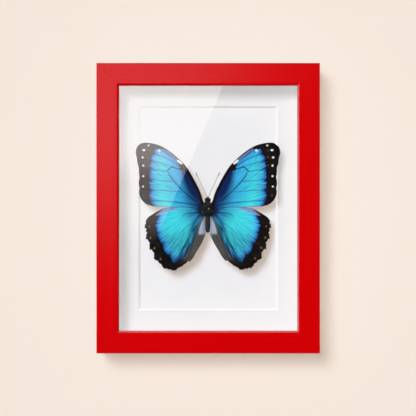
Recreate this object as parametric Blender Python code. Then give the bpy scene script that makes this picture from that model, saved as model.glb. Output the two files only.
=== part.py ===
"""Framed butterfly specimen: a red box frame with a spread blue morpho behind glass.

Metres, +Z up, the glazed front towards -Y. The origin is at the middle of the
underside, halfway between the front and back faces.
"""

import math

import bmesh
import bpy
from mathutils import Vector
from mathutils.geometry import delaunay_2d_cdt

MM = 0.001

# Driving dimensions of the frame
FRAME_WIDTH = 163.0 * MM
FRAME_HEIGHT = 211.8 * MM
FRAME_DEPTH = 36.0 * MM
RAIL_FACE = 16.4 * MM
WALL_THICKNESS = 12.0 * MM
LIP_THICKNESS = 4.5 * MM
SIGHT_CHAMFER = 1.3 * MM
FRONT_EASE = 0.5 * MM
MITRE_GAP = 0.05 * MM

# The pack of sheets behind the lip, front to back
PACK_SIDE_CLEARANCE = 0.5 * MM
LAYER_GAP = 0.1 * MM
GLAZING_THICKNESS = 2.0 * MM
SPACER_DEPTH = 17.0 * MM
SPACER_THICKNESS = 2.3 * MM
MAT_THICKNESS = 1.4 * MM
BOARD_THICKNESS = 3.0 * MM
BACK_PANEL_THICKNESS = 2.5 * MM

# Mat window, measured at its narrow back edge; the bevel opens it to the front
WINDOW_WIDTH = 100.7 * MM
WINDOW_HEIGHT = 149.2 * MM

# Bendable steel tabs that hold the pack in
TAB_LENGTH = 16.0 * MM
TAB_WIDTH = 7.5 * MM
TAB_THICKNESS = 0.5 * MM
TAB_POINT_LENGTH = 2.6 * MM
TAB_IN_RAIL = 6.0 * MM
TAB_SLOT_CLEARANCE = 0.3 * MM
TAB_SPREAD = 0.25

# Sawtooth hanger in its routed recess in the top rail
HANGER_LENGTH = 46.0 * MM
HANGER_WIDTH = 6.4 * MM
HANGER_THICKNESS = 0.8 * MM
HANGER_RECESS_LENGTH = 49.0 * MM
HANGER_RECESS_WIDTH = 8.4 * MM
HANGER_RECESS_DEPTH = 1.8 * MM
HANGER_TEETH = 12
HANGER_TOOTH_PITCH = 2.4 * MM
HANGER_TOOTH_HEIGHT = 1.2 * MM
HANGER_END_STEPS = 8
NAIL_SPACING = 39.0 * MM
NAIL_HEAD_RADIUS = 1.5 * MM
NAIL_HEAD_THICKNESS = 0.5 * MM
NAIL_SHANK_RADIUS = 0.6 * MM
NAIL_SHANK_LENGTH = 9.0 * MM
NAIL_POINT_LENGTH = 1.5 * MM
NAIL_HOLE_CLEARANCE = 0.15 * MM

# Butterfly, placed from the middle of the frame
BODY_AXIS_X = -0.3 * MM
WING_THICKNESS = 0.4 * MM
FOREWING_DEPTH = 11.0 * MM
HINDWING_DEPTH = 11.7 * MM
WING_RISE = 1.6 * MM
WING_SPAN_HALF = 53.0 * MM
WING_GRID = 4.0 * MM
OUTLINE_STEPS = 3
BODY_SEGMENTS = 20
BODY_DEPTH = 12.7 * MM
ANTENNA_RADIUS = 0.22 * MM
ANTENNA_STEM_SHARE = 0.7
ANTENNA_CLUB_SHARE = 1.3
ANTENNA_CLUB_START = 22.0

# Insect pin and the foam pillar that it stands in
PIN_X = 0.5 * MM
PIN_Z = -0.3 * MM
PIN_HEAD_DEPTH = 7.6 * MM
PIN_TIP_DEPTH = 27.6 * MM
PIN_RADIUS = 0.25 * MM
PIN_HEAD_RADIUS = 0.6 * MM
PIN_HEAD_STEPS = 7
PIN_POINT_LENGTH = 1.0 * MM
PIN_HOLE_RADIUS = 0.4 * MM
PIN_TIP_CLEARANCE = 0.3 * MM
PILLAR_WIDTH = 4.0 * MM
PILLAR_HEIGHT = 8.0 * MM
PILLAR_DEPTH_START = 17.1 * MM

# Sides of the round parts, and how far a cutter runs past the surface it cuts
NAIL_SEGMENTS = 16
PIN_SEGMENTS = 12
OVERSHOOT = 1.0 * MM
SHARP_ANGLE = math.radians(40)

# Values that follow from the ones above
MIDDLE_Z = FRAME_HEIGHT / 2
REBATE_WIDTH = FRAME_WIDTH - 2 * WALL_THICKNESS
REBATE_HEIGHT = FRAME_HEIGHT - 2 * WALL_THICKNESS
PACK_WIDTH = REBATE_WIDTH - 2 * PACK_SIDE_CLEARANCE
PACK_HEIGHT = REBATE_HEIGHT - 2 * PACK_SIDE_CLEARANCE
GLAZING_START = LIP_THICKNESS + LAYER_GAP
SPACER_START = GLAZING_START + GLAZING_THICKNESS + LAYER_GAP
MAT_START = SPACER_START + SPACER_DEPTH + LAYER_GAP
BOARD_START = MAT_START + MAT_THICKNESS + LAYER_GAP
BACK_PANEL_START = BOARD_START + BOARD_THICKNESS + LAYER_GAP
TAB_START = BACK_PANEL_START + BACK_PANEL_THICKNESS + LAYER_GAP

# Outlines of the right wings, in millimetres from the middle of the frame:
# across, then up. The left wings mirror them about the body's axis.
FOREWING_OUTLINE = (
    (4.1, 3.6), (4.6, 8.8), (6.2, 13.4), (9.5, 20.8), (15.2, 29.9), (20.4, 35.6),
    (28.0, 42.0), (35.1, 46.0), (42.2, 47.9), (48.2, 47.9), (51.6, 45.2), (53.0, 41.0),
    (52.0, 35.6), (50.6, 30.0), (50.7, 26.4), (50.0, 22.9), (50.7, 18.6), (50.1, 14.8),
    (50.5, 11.4), (48.9, 6.7), (45.6, 3.4), (40.6, 1.7), (31.0, 1.1), (19.0, 0.7),
    (9.0, 0.0), (4.2, 0.0),
)
HINDWING_OUTLINE = (
    (4.2, -1.6), (9.0, 1.4), (19.0, 1.9), (28.0, 0.9), (35.0, -1.3), (41.0, -4.8),
    (44.8, -8.2), (46.2, -13.4), (45.1, -17.6), (45.4, -22.2), (42.8, -26.2), (42.3, -30.2),
    (39.5, -33.8), (38.8, -37.6), (35.6, -39.9), (32.6, -43.6), (27.6, -44.6), (24.6, -45.4),
    (21.4, -43.4), (15.6, -39.8), (12.3, -38.3), (8.6, -32.2), (4.5, -26.0), (2.0, -20.6),
    (1.9, -17.0), (2.1, -11.0), (2.3, -7.2), (3.3, -4.6),
)

# Body from the brow down to the abdomen's tip: height from the middle of the
# frame, half width, half depth and how far the centre lies behind BODY_DEPTH, in mm
BODY_SECTIONS = (
    (7.9, 0.9, 0.8, -0.5), (7.3, 1.7, 1.5, -0.5), (6.2, 2.1, 1.9, -0.4), (5.3, 1.9, 1.8, -0.3),
    (4.7, 1.5, 1.6, -0.2), (4.0, 2.3, 2.6, -0.1), (2.6, 3.3, 3.5, 0.0), (0.4, 3.8, 3.9, 0.0),
    (-1.8, 3.7, 3.8, 0.0), (-3.8, 2.8, 3.0, 0.2), (-5.2, 1.6, 1.9, 0.3), (-6.4, 1.4, 2.0, 0.4),
    (-9.0, 1.7, 2.2, 0.6), (-12.5, 1.8, 2.2, 0.9), (-15.6, 1.5, 1.8, 1.1), (-17.0, 0.9, 1.2, 1.2),
)

# How far the brow and the abdomen's tip bulge past the end sections, in mm
BODY_END_ROUNDING = 0.35

# Right antenna from the brow to its tip: across, up and depth, in millimetres
ANTENNA_POINTS = (
    (0.5, 8.4, 11.7), (1.3, 10.6, 11.4), (2.7, 13.6, 11.1), (4.3, 17.4, 10.9),
    (5.9, 21.2, 10.7), (7.4, 24.2, 10.7), (8.6, 26.3, 10.7),
)


def depth_y(depth):
    """Y of a plane that lies this far behind the frame's front face."""
    return depth - FRAME_DEPTH / 2


def srgb(code):
    """Linear colour of an sRGB hex code."""
    channels = [int(code[i:i + 2], 16) / 255 for i in (1, 3, 5)]
    linear = [c / 12.92 if c <= 0.04045 else ((c + 0.055) / 1.055) ** 2.4 for c in channels]
    return (*linear, 1.0)


def make_material(name, code, roughness, metallic=0.0, transmission=0.0):
    material = bpy.data.materials.new(name)
    material.use_nodes = True
    shader = material.node_tree.nodes["Principled BSDF"]
    shader.inputs["Base Color"].default_value = srgb(code)
    shader.inputs["Roughness"].default_value = roughness
    shader.inputs["Metallic"].default_value = metallic
    shader.inputs["Transmission Weight"].default_value = transmission
    return material


def clear_scene():
    for obj in list(bpy.data.objects):
        bpy.data.objects.remove(obj, do_unlink=True)


def link_object(name, data, material, location=(0.0, 0.0, 0.0), turn_y=0.0):
    """Add an object that holds the data, turned about Y and then placed."""
    obj = bpy.data.objects.new(name, data)
    if material is not None:
        data.materials.append(material)
    obj.location = location
    obj.rotation_euler = (0.0, turn_y, 0.0)
    bpy.context.collection.objects.link(obj)
    return obj


def finish_mesh(bm, name, smooth=False):
    """Turn a bmesh into a mesh with its faces pointing out."""
    bmesh.ops.recalc_face_normals(bm, faces=bm.faces)
    mesh = bpy.data.meshes.new(name)
    bm.to_mesh(mesh)
    bm.free()
    if smooth:
        mesh.shade_smooth()
        mesh.set_sharp_from_angle(angle=SHARP_ANGLE)
    return mesh


def add_box(bm, low, high):
    """Add a box between two corners."""
    corners = bmesh.ops.create_cube(bm, size=1.0)["verts"]
    for vert in corners:
        for axis in range(3):
            vert.co[axis] = low[axis] if vert.co[axis] < 0 else high[axis]


def box_mesh(name, boxes):
    bm = bmesh.new()
    for low, high in boxes:
        add_box(bm, low, high)
    return finish_mesh(bm, name)


def prism_mesh(name, outline, y_front, y_back):
    """Extrude an outline of (across, up) points between two depths."""
    bm = bmesh.new()
    front = bm.faces.new([bm.verts.new((x, y_front, z)) for x, z in outline])
    swept = bmesh.ops.extrude_face_region(bm, geom=[front])["geom"]
    moved = [item for item in swept if isinstance(item, bmesh.types.BMVert)]
    bmesh.ops.translate(bm, verts=moved, vec=(0.0, y_back - y_front, 0.0))
    return finish_mesh(bm, name)


def turned_mesh(name, profile, segments):
    """Spin a profile of (radius, y) points about the Y axis; it starts and ends on the axis."""
    bm = bmesh.new()
    rings = []
    for radius, y in profile:
        if radius == 0.0:
            rings.append([bm.verts.new((0.0, y, 0.0))])
            continue
        angles = [2 * math.pi * i / segments for i in range(segments)]
        rings.append([bm.verts.new((radius * math.cos(a), y, radius * math.sin(a))) for a in angles])
    join_rings(bm, rings)
    return finish_mesh(bm, name, smooth=True)


def join_rings(bm, rings):
    """Skin rings of vertices one after another; a ring of one vertex is a pole."""
    for ring, following in zip(rings, rings[1:]):
        count = max(len(ring), len(following))
        for i in range(count):
            j = (i + 1) % count
            corners = [ring[i % len(ring)], ring[j % len(ring)]]
            corners += [following[j % len(following)], following[i % len(following)]]
            bm.faces.new(list(dict.fromkeys(corners)))


def cut_with(obj, name, mesh, location=(0.0, 0.0, 0.0)):
    """Subtract a mesh from an object; the cutter stays in the file as a wire guide."""
    cutter = link_object(name, mesh, None, location)
    cutter.hide_render = True
    cutter.display_type = "WIRE"
    boolean = obj.modifiers.new(name, "BOOLEAN")
    boolean.operation = "DIFFERENCE"
    boolean.solver = "EXACT"
    boolean.object = cutter


# Frame rails

def rail_mesh(name, length):
    """Mitred rail along X, its outer side at z = 0 and its inner side towards +Z."""
    front = depth_y(0.0)
    profile = (
        (0.0, depth_y(FRAME_DEPTH)),
        (0.0, front + FRONT_EASE),
        (FRONT_EASE, front),
        (RAIL_FACE - SIGHT_CHAMFER, front),
        (RAIL_FACE, front + SIGHT_CHAMFER),
        (RAIL_FACE, depth_y(LIP_THICKNESS)),
        (WALL_THICKNESS, depth_y(LIP_THICKNESS)),
        (WALL_THICKNESS, depth_y(FRAME_DEPTH)),
    )
    bm = bmesh.new()
    ends = []
    for side in (-1, 1):
        reach = length / 2 - MITRE_GAP
        ends.append([bm.verts.new((side * (reach - inset), y, inset)) for inset, y in profile])
    count = len(profile)
    for i in range(count):
        j = (i + 1) % count
        bm.faces.new((ends[0][i], ends[0][j], ends[1][j], ends[1][i]))
    bm.faces.new(ends[0])
    bm.faces.new(ends[1])
    return finish_mesh(bm, name)


def rail_places():
    """Each rail's name, length, middle of its outer side and turn about Y."""
    return (
        ("frame_rail_bottom", FRAME_WIDTH, (0.0, 0.0, 0.0), 0.0),
        ("frame_rail_top", FRAME_WIDTH, (0.0, 0.0, FRAME_HEIGHT), math.pi),
        ("frame_rail_left", FRAME_HEIGHT, (-FRAME_WIDTH / 2, 0.0, MIDDLE_Z), math.pi / 2),
        ("frame_rail_right", FRAME_HEIGHT, (FRAME_WIDTH / 2, 0.0, MIDDLE_Z), -math.pi / 2),
    )


def slot_cutter_mesh(name, length):
    """Two slots in a rail's inner side that the bendable tabs are driven into."""
    half_width = TAB_WIDTH / 2 + TAB_SLOT_CLEARANCE
    low_z = WALL_THICKNESS - TAB_IN_RAIL - TAB_SLOT_CLEARANCE
    boxes = []
    for side in (-1, 1):
        middle = side * length * TAB_SPREAD
        low = (middle - half_width, depth_y(TAB_START) - TAB_SLOT_CLEARANCE, low_z)
        high_y = depth_y(TAB_START) + TAB_THICKNESS + TAB_SLOT_CLEARANCE
        high = (middle + half_width, high_y, WALL_THICKNESS + OVERSHOOT)
        boxes.append((low, high))
    return box_mesh(name, boxes)


def tab_mesh(name):
    """Flat steel point along Z: its sharp end is down in the rail, its blunt end over the panel."""
    half = TAB_WIDTH / 2
    outline = (
        (0.0, 0.0),
        (half, TAB_POINT_LENGTH),
        (half, TAB_LENGTH),
        (-half, TAB_LENGTH),
        (-half, TAB_POINT_LENGTH),
    )
    return prism_mesh(name, outline, depth_y(TAB_START), depth_y(TAB_START) + TAB_THICKNESS)


def build_rails_and_tabs(red, steel):
    """Four mitred rails, each with two slots and two tabs."""
    rails = {}
    for name, length, place, turn in rail_places():
        rail = link_object(name, rail_mesh(name, length), red, place, turn)
        cut_with(rail, name + "_slots", slot_cutter_mesh(name + "_slots", length), place)
        bpy.data.objects[name + "_slots"].rotation_euler = rail.rotation_euler
        rails[name] = rail
        for number, side in enumerate((-1, 1), start=1):
            tab_name = name.replace("frame_rail", "retaining_tab") + "_" + str(number)
            along = side * length * TAB_SPREAD
            offset = Vector((along, 0.0, WALL_THICKNESS - TAB_IN_RAIL))
            offset.rotate(rail.rotation_euler)
            link_object(tab_name, tab_mesh(tab_name), steel, Vector(place) + offset, turn)
    return rails


# Hanger on the top rail's back

def hanger_outline():
    """Strip with rounded ends and a row of teeth along its lower edge."""
    half = HANGER_LENGTH / 2
    radius = HANGER_WIDTH / 2
    points = []
    for i in range(HANGER_END_STEPS + 1):
        angle = math.pi / 2 - math.pi * i / HANGER_END_STEPS
        points.append((half - radius + radius * math.cos(angle), radius * math.sin(angle)))
    first_root = HANGER_TEETH * HANGER_TOOTH_PITCH / 2
    for i in range(HANGER_TEETH):
        root = first_root - i * HANGER_TOOTH_PITCH
        points.append((root, -radius))
        points.append((root - HANGER_TOOTH_PITCH / 2, -radius + HANGER_TOOTH_HEIGHT))
    points.append((-first_root, -radius))
    for i in range(HANGER_END_STEPS + 1):
        angle = -math.pi / 2 - math.pi * i / HANGER_END_STEPS
        points.append((radius - half + radius * math.cos(angle), radius * math.sin(angle)))
    return points


def nail_profile():
    """Flat-headed nail along Y, head outermost, point inside the rail."""
    return (
        (0.0, NAIL_HEAD_THICKNESS),
        (NAIL_HEAD_RADIUS * 0.8, NAIL_HEAD_THICKNESS),
        (NAIL_HEAD_RADIUS, NAIL_HEAD_THICKNESS * 0.6),
        (NAIL_HEAD_RADIUS, 0.0),
        (NAIL_SHANK_RADIUS, 0.0),
        (NAIL_SHANK_RADIUS, NAIL_POINT_LENGTH - NAIL_SHANK_LENGTH),
        (0.0, -NAIL_SHANK_LENGTH),
    )


def build_hanger(top_rail, steel, brass):
    """Sawtooth strip with its two nails, in a shallow recess so that the back stays flush."""
    middle_z = FRAME_HEIGHT - WALL_THICKNESS / 2
    floor_y = depth_y(FRAME_DEPTH) - HANGER_RECESS_DEPTH
    open_y = depth_y(FRAME_DEPTH) + OVERSHOOT
    low = (-HANGER_RECESS_LENGTH / 2, floor_y, middle_z - HANGER_RECESS_WIDTH / 2)
    high = (HANGER_RECESS_LENGTH / 2, open_y, middle_z + HANGER_RECESS_WIDTH / 2)
    cut_with(top_rail, "hanger_recess", box_mesh("hanger_recess", [(low, high)]))
    strip_back = floor_y + LAYER_GAP
    strip_mesh = prism_mesh("sawtooth_hanger", hanger_outline(), strip_back, strip_back + HANGER_THICKNESS)
    strip = link_object("sawtooth_hanger", strip_mesh, steel, (0.0, 0.0, middle_z))
    hole_radius = NAIL_SHANK_RADIUS + NAIL_HOLE_CLEARANCE
    hole_end = strip_back + HANGER_THICKNESS + LAYER_GAP
    hole_length = hole_end - floor_y + NAIL_SHANK_LENGTH
    hole = ((0.0, 0.0), (hole_radius, 0.0), (hole_radius, -hole_length), (0.0, -hole_length))
    for number, side in enumerate((-1, 1), start=1):
        place = (side * NAIL_SPACING / 2, hole_end, middle_z)
        name = "hanger_nail_" + str(number)
        for cut, suffix in ((top_rail, "_rail_hole"), (strip, "_strip_hole")):
            cut_with(cut, name + suffix, turned_mesh(name + suffix, hole, NAIL_SEGMENTS), place)
        link_object(name, turned_mesh(name, nail_profile(), NAIL_SEGMENTS), brass, place)


# Sheets and spacers behind the lip

def sheet(name, start, thickness, material):
    """Plain sheet that fills the rebate, starting this far behind the front face."""
    low = (-PACK_WIDTH / 2, depth_y(start), MIDDLE_Z - PACK_HEIGHT / 2)
    high = (PACK_WIDTH / 2, depth_y(start) + thickness, MIDDLE_Z + PACK_HEIGHT / 2)
    return link_object(name, box_mesh(name, [(low, high)]), material)


def build_spacers(material):
    """Four strips that stand the glazing off the mat; the sides fit between top and bottom."""
    half_w = PACK_WIDTH / 2
    half_h = PACK_HEIGHT / 2
    inner_h = half_h - SPACER_THICKNESS - LAYER_GAP
    spans = {
        "spacer_top": (-half_w, half_h - SPACER_THICKNESS, half_w, half_h),
        "spacer_bottom": (-half_w, -half_h, half_w, SPACER_THICKNESS - half_h),
        "spacer_left": (-half_w, -inner_h, SPACER_THICKNESS - half_w, inner_h),
        "spacer_right": (half_w - SPACER_THICKNESS, -inner_h, half_w, inner_h),
    }
    front = depth_y(SPACER_START)
    for name, (x_low, z_low, x_high, z_high) in spans.items():
        low = (x_low, front, MIDDLE_Z + z_low)
        high = (x_high, front + SPACER_DEPTH, MIDDLE_Z + z_high)
        link_object(name, box_mesh(name, [(low, high)]), material)


def build_window_mat(material):
    """Mat board with a bevelled window that is wider at the front by its own thickness."""
    front = depth_y(MAT_START)
    back = front + MAT_THICKNESS
    loops_at = (
        (PACK_WIDTH / 2, PACK_HEIGHT / 2, front),
        (WINDOW_WIDTH / 2 + MAT_THICKNESS, WINDOW_HEIGHT / 2 + MAT_THICKNESS, front),
        (WINDOW_WIDTH / 2, WINDOW_HEIGHT / 2, back),
        (PACK_WIDTH / 2, PACK_HEIGHT / 2, back),
    )
    bm = bmesh.new()
    loops = []
    for half_w, half_h, y in loops_at:
        corners = ((-half_w, -half_h), (half_w, -half_h), (half_w, half_h), (-half_w, half_h))
        loops.append([bm.verts.new((x, y, MIDDLE_Z + z)) for x, z in corners])
    join_rings(bm, loops + loops[:1])
    link_object("window_mat", finish_mesh(bm, "window_mat"), material)


# Butterfly

def smooth_outline(points, steps):
    """Closed Catmull-Rom curve through the points."""
    curve = []
    count = len(points)
    for i in range(count):
        p0, p1, p2, p3 = (Vector(points[(i + k - 1) % count]) for k in range(4))
        for step in range(steps):
            t = step / steps
            a = 2 * p1 + (p2 - p0) * t
            b = (2 * p0 - 5 * p1 + 4 * p2 - p3) * t * t
            c = (3 * p1 - p0 - 3 * p2 + p3) * t ** 3
            curve.append((a + b + c) / 2)
    return curve


def inside(point, outline):
    """True where a ray to the right of the point crosses the outline an odd number of times."""
    crossings = 0
    for start, end in zip(outline, outline[1:] + outline[:1]):
        if (start.y > point.y) != (end.y > point.y):
            share = (point.y - start.y) / (end.y - start.y)
            crossings += point.x < start.x + share * (end.x - start.x)
    return crossings % 2 == 1


def wing_height(x):
    """The wings lift gently towards the glass from the body to their tips."""
    share = min(1.0, abs(x - BODY_AXIS_X) / WING_SPAN_HALF)
    return WING_RISE * share * share


def grid_steps(values):
    """Whole grid steps that span the values."""
    return range(math.ceil(min(values) / WING_GRID), math.floor(max(values) / WING_GRID) + 1)


def wing_sheet_mesh(name, outline, depth):
    """Triangulated sheet inside the outline, lifted towards its tip."""
    spots = list(outline)
    for column in grid_steps([p.x for p in outline]):
        for row in grid_steps([p.y for p in outline]):
            spot = Vector((column * WING_GRID, row * WING_GRID))
            clear = min((spot - edge).length for edge in outline) > WING_GRID / 2
            if clear and inside(spot, outline):
                spots.append(spot)
    ring = list(range(len(outline)))
    flat, _, faces, *_ = delaunay_2d_cdt(spots, [], [ring], 1, 1e-7)
    bm = bmesh.new()
    verts = [bm.verts.new((p.x, depth_y(depth) - wing_height(p.x), MIDDLE_Z + p.y)) for p in flat]
    for face in faces:
        bm.faces.new([verts[i] for i in face])
    bmesh.ops.recalc_face_normals(bm, faces=bm.faces)
    bm.faces.ensure_lookup_table()
    if bm.faces[0].normal.y > 0:
        bmesh.ops.reverse_faces(bm, faces=bm.faces)
    mesh = bpy.data.meshes.new(name)
    bm.to_mesh(mesh)
    bm.free()
    return mesh


def build_wings(material):
    """Forewings lie over the hindwings; each is a thin sheet of one thickness."""
    kinds = (("forewing", FOREWING_OUTLINE, FOREWING_DEPTH), ("hindwing", HINDWING_OUTLINE, HINDWING_DEPTH))
    for kind, points, depth in kinds:
        right = smooth_outline([(x * MM, z * MM) for x, z in points], OUTLINE_STEPS)
        left = [Vector((2 * BODY_AXIS_X - p.x, p.y)) for p in reversed(right)]
        for side, outline in (("left", left), ("right", right)):
            name = kind + "_" + side
            wing = link_object(name, wing_sheet_mesh(name, outline, depth), material)
            solidify = wing.modifiers.new("wing_thickness", "SOLIDIFY")
            solidify.thickness = WING_THICKNESS
            solidify.offset = -1.0


def pin_hole_mesh(name, start, end):
    """Round cutter along Y between two depths."""
    radius = PIN_HOLE_RADIUS
    y0 = depth_y(start)
    y1 = depth_y(end)
    return turned_mesh(name, ((0.0, y0), (radius, y0), (radius, y1), (0.0, y1)), PIN_SEGMENTS)


def build_body(material):
    """Head, thorax and abdomen, grown as one, with the hole that the pin makes."""
    bm = bmesh.new()
    top = BODY_SECTIONS[0]
    tip = BODY_SECTIONS[-1]
    rings = [[bm.verts.new((0.0, top[3] * MM, (top[0] + BODY_END_ROUNDING) * MM))]]
    for height, half_width, half_depth, back in BODY_SECTIONS:
        ring = []
        for i in range(BODY_SEGMENTS):
            angle = 2 * math.pi * i / BODY_SEGMENTS
            x = half_width * math.cos(angle)
            y = back + half_depth * math.sin(angle)
            ring.append(bm.verts.new((x * MM, y * MM, height * MM)))
        rings.append(ring)
    rings.append([bm.verts.new((0.0, tip[3] * MM, (tip[0] - BODY_END_ROUNDING) * MM))])
    join_rings(bm, rings)
    place = (BODY_AXIS_X, depth_y(BODY_DEPTH), MIDDLE_Z)
    mesh = finish_mesh(bm, "butterfly_body", smooth=True)
    body = link_object("butterfly_body", mesh, material, place)
    hole = pin_hole_mesh("body_pin_hole", PIN_HEAD_DEPTH, BOARD_START)
    cut_with(body, "body_pin_hole", hole, (PIN_X, 0.0, MIDDLE_Z + PIN_Z))


def build_antennae(material):
    """Two thin feelers that end in slim clubs."""
    for side, sign in (("left", -1), ("right", 1)):
        name = "antenna_" + side
        curve = bpy.data.curves.new(name, "CURVE")
        curve.dimensions = "3D"
        curve.bevel_depth = ANTENNA_RADIUS
        curve.bevel_resolution = 2
        curve.use_fill_caps = True
        spline = curve.splines.new("POLY")
        spline.points.add(len(ANTENNA_POINTS) - 1)
        for point, (across, up, depth) in zip(spline.points, ANTENNA_POINTS):
            x = BODY_AXIS_X + sign * (across * MM - BODY_AXIS_X)
            point.co = (x, depth_y(depth * MM), MIDDLE_Z + up * MM, 1.0)
            point.radius = ANTENNA_STEM_SHARE if up < ANTENNA_CLUB_START else ANTENNA_CLUB_SHARE
        link_object(name, curve, material)


def build_pin(material):
    """Insect pin with a small round head and a ground point."""
    head_y = depth_y(PIN_HEAD_DEPTH)
    profile = [(0.0, head_y - PIN_HEAD_RADIUS)]
    for i in range(1, PIN_HEAD_STEPS):
        angle = math.pi * i / PIN_HEAD_STEPS
        across = PIN_HEAD_RADIUS * math.sin(angle)
        if angle > math.pi / 2:
            across = max(across, PIN_RADIUS)
        profile.append((across, head_y - PIN_HEAD_RADIUS * math.cos(angle)))
    profile.append((PIN_RADIUS, head_y + PIN_HEAD_RADIUS))
    profile.append((PIN_RADIUS, depth_y(PIN_TIP_DEPTH) - PIN_POINT_LENGTH))
    profile.append((0.0, depth_y(PIN_TIP_DEPTH)))
    mesh = turned_mesh("insect_pin", profile, PIN_SEGMENTS)
    link_object("insect_pin", mesh, material, (PIN_X, 0.0, MIDDLE_Z + PIN_Z))


def build_pillar(material):
    """Foam pillar behind the thorax that carries the insect clear of the board."""
    end = depth_y(BOARD_START) - LAYER_GAP
    low = (BODY_AXIS_X - PILLAR_WIDTH / 2, depth_y(PILLAR_DEPTH_START), MIDDLE_Z - PILLAR_HEIGHT / 2)
    high = (BODY_AXIS_X + PILLAR_WIDTH / 2, end, MIDDLE_Z + PILLAR_HEIGHT / 2)
    pillar = link_object("mounting_pillar", box_mesh("mounting_pillar", [(low, high)]), material)
    hole = pin_hole_mesh("pillar_pin_hole", PILLAR_DEPTH_START - OVERSHOOT, BOARD_START + OVERSHOOT)
    cut_with(pillar, "pillar_pin_hole", hole, (PIN_X, 0.0, MIDDLE_Z + PIN_Z))


def main():
    clear_scene()
    red = make_material("red_lacquered_wood", "#D2090E", 0.28)
    glass = make_material("picture_glass", "#F2F7F5", 0.02, transmission=1.0)
    white_card = make_material("white_card", "#F3F1F0", 0.9)
    foam = make_material("white_foam_board", "#F1F1F1", 0.8)
    hardboard = make_material("brown_hardboard", "#7A5434", 0.75)
    steel = make_material("zinc_plated_steel", "#B8BABD", 0.35, metallic=1.0)
    brass = make_material("brassed_steel", "#B79A4C", 0.3, metallic=1.0)
    wing = make_material("blue_wing_scales", "#35B4DC", 0.5)
    chitin = make_material("dark_chitin", "#1C1916", 0.7)

    rails = build_rails_and_tabs(red, steel)
    build_hanger(rails["frame_rail_top"], steel, brass)
    sheet("glazing", GLAZING_START, GLAZING_THICKNESS, glass)
    build_spacers(white_card)
    build_window_mat(white_card)
    board = sheet("mounting_board", BOARD_START, BOARD_THICKNESS, foam)
    board_hole = pin_hole_mesh("board_pin_hole", BOARD_START - OVERSHOOT, PIN_TIP_DEPTH + PIN_TIP_CLEARANCE)
    cut_with(board, "board_pin_hole", board_hole, (PIN_X, 0.0, MIDDLE_Z + PIN_Z))
    sheet("back_panel", BACK_PANEL_START, BACK_PANEL_THICKNESS, hardboard)
    build_wings(wing)
    build_body(chitin)
    build_antennae(chitin)
    build_pin(steel)
    build_pillar(foam)


main()
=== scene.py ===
"""Framed butterfly specimen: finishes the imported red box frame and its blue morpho.

Metres in the row frame: X to the right, Y away from the viewer, Z up. Tables of points
(across, up) are in millimetres from the middle of the frame.
"""

import math
from functools import partial

import bmesh
import bpy
import numpy as np
from bpy.props import FloatProperty, FloatVectorProperty, IntProperty, PointerProperty
from mathutils import Matrix, Vector
from mathutils.geometry import delaunay_2d_cdt


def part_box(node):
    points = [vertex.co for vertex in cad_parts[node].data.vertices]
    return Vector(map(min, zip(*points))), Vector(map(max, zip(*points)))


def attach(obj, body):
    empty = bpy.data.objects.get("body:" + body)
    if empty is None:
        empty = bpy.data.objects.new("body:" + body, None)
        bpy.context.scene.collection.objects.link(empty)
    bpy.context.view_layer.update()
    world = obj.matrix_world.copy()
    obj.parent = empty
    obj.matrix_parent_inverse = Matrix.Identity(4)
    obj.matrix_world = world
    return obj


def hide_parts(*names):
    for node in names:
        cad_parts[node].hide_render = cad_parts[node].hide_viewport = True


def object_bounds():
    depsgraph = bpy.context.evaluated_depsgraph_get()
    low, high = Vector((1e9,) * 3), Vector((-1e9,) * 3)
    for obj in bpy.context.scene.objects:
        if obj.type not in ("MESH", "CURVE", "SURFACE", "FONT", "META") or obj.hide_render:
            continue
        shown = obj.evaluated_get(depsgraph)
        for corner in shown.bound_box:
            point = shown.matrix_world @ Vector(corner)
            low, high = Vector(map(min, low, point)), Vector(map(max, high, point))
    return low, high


bl_info = {
    "name": "Framed Butterfly Finish",
    "version": (1, 0, 0),
    "blender": (4, 5, 0),
    "location": "3D View > Sidebar > Framed Butterfly",
    "description": "Builds the finished rails, glass, mat and blue morpho on the packed frame",
    "category": "Object",
}

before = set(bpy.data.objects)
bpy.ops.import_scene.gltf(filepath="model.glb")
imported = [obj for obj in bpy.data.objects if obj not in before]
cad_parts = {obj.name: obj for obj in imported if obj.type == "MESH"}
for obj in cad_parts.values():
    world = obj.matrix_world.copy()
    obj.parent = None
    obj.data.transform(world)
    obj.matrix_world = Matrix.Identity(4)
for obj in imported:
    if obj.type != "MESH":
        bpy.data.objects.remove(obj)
CAD_LOW, CAD_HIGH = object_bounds()

MM = 0.001
MIDDLE_Z = (CAD_LOW.z + CAD_HIGH.z) / 2
FRONT_Y = CAD_LOW.y
BACK_Y = CAD_HIGH.y
LAYER_GAP = 0.1 * MM
PACK_SIDE_CLEARANCE = 0.5 * MM

# Rails: the sight edge is chamfered, and the mitres show as a hairline in the lacquer
SIGHT_CHAMFER = 1.3 * MM
MITRE_GAP = 0.01 * MM
MITRE_HAIRLINE = 0.12 * MM
MITRE_EASE = 0.04 * MM
RAIL_STATIONS = 24
RECESS_HALF_WIDTH = 24.5 * MM
RECESS_HALF_HEIGHT = 4.2 * MM
TAB_SLOT_CLEARANCE = 0.3 * MM
TAB_SPREAD = 0.25
TAB_INTO_RAIL = 6.0 * MM
# How far a cutter reaches past the face that it opens
OVERCUT = 1.0 * MM

# Sawtooth hanger and its nails
HANGER_TEETH = 12
TOOTH_PITCH = 2.4 * MM
TOOTH_HEIGHT = 1.2 * MM
TOOTH_ROUND = 0.12 * MM
STAMPED_ARRIS = 0.08 * MM

# Butterfly, in millimetres
BODY_AXIS = -0.3
WING_SPACING = 0.35
WING_SPAN_HALF = 53.0
WING_RISE = 1.6
SHEET_GAP = 0.15
VEIN_RELIEF = 0.1

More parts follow.
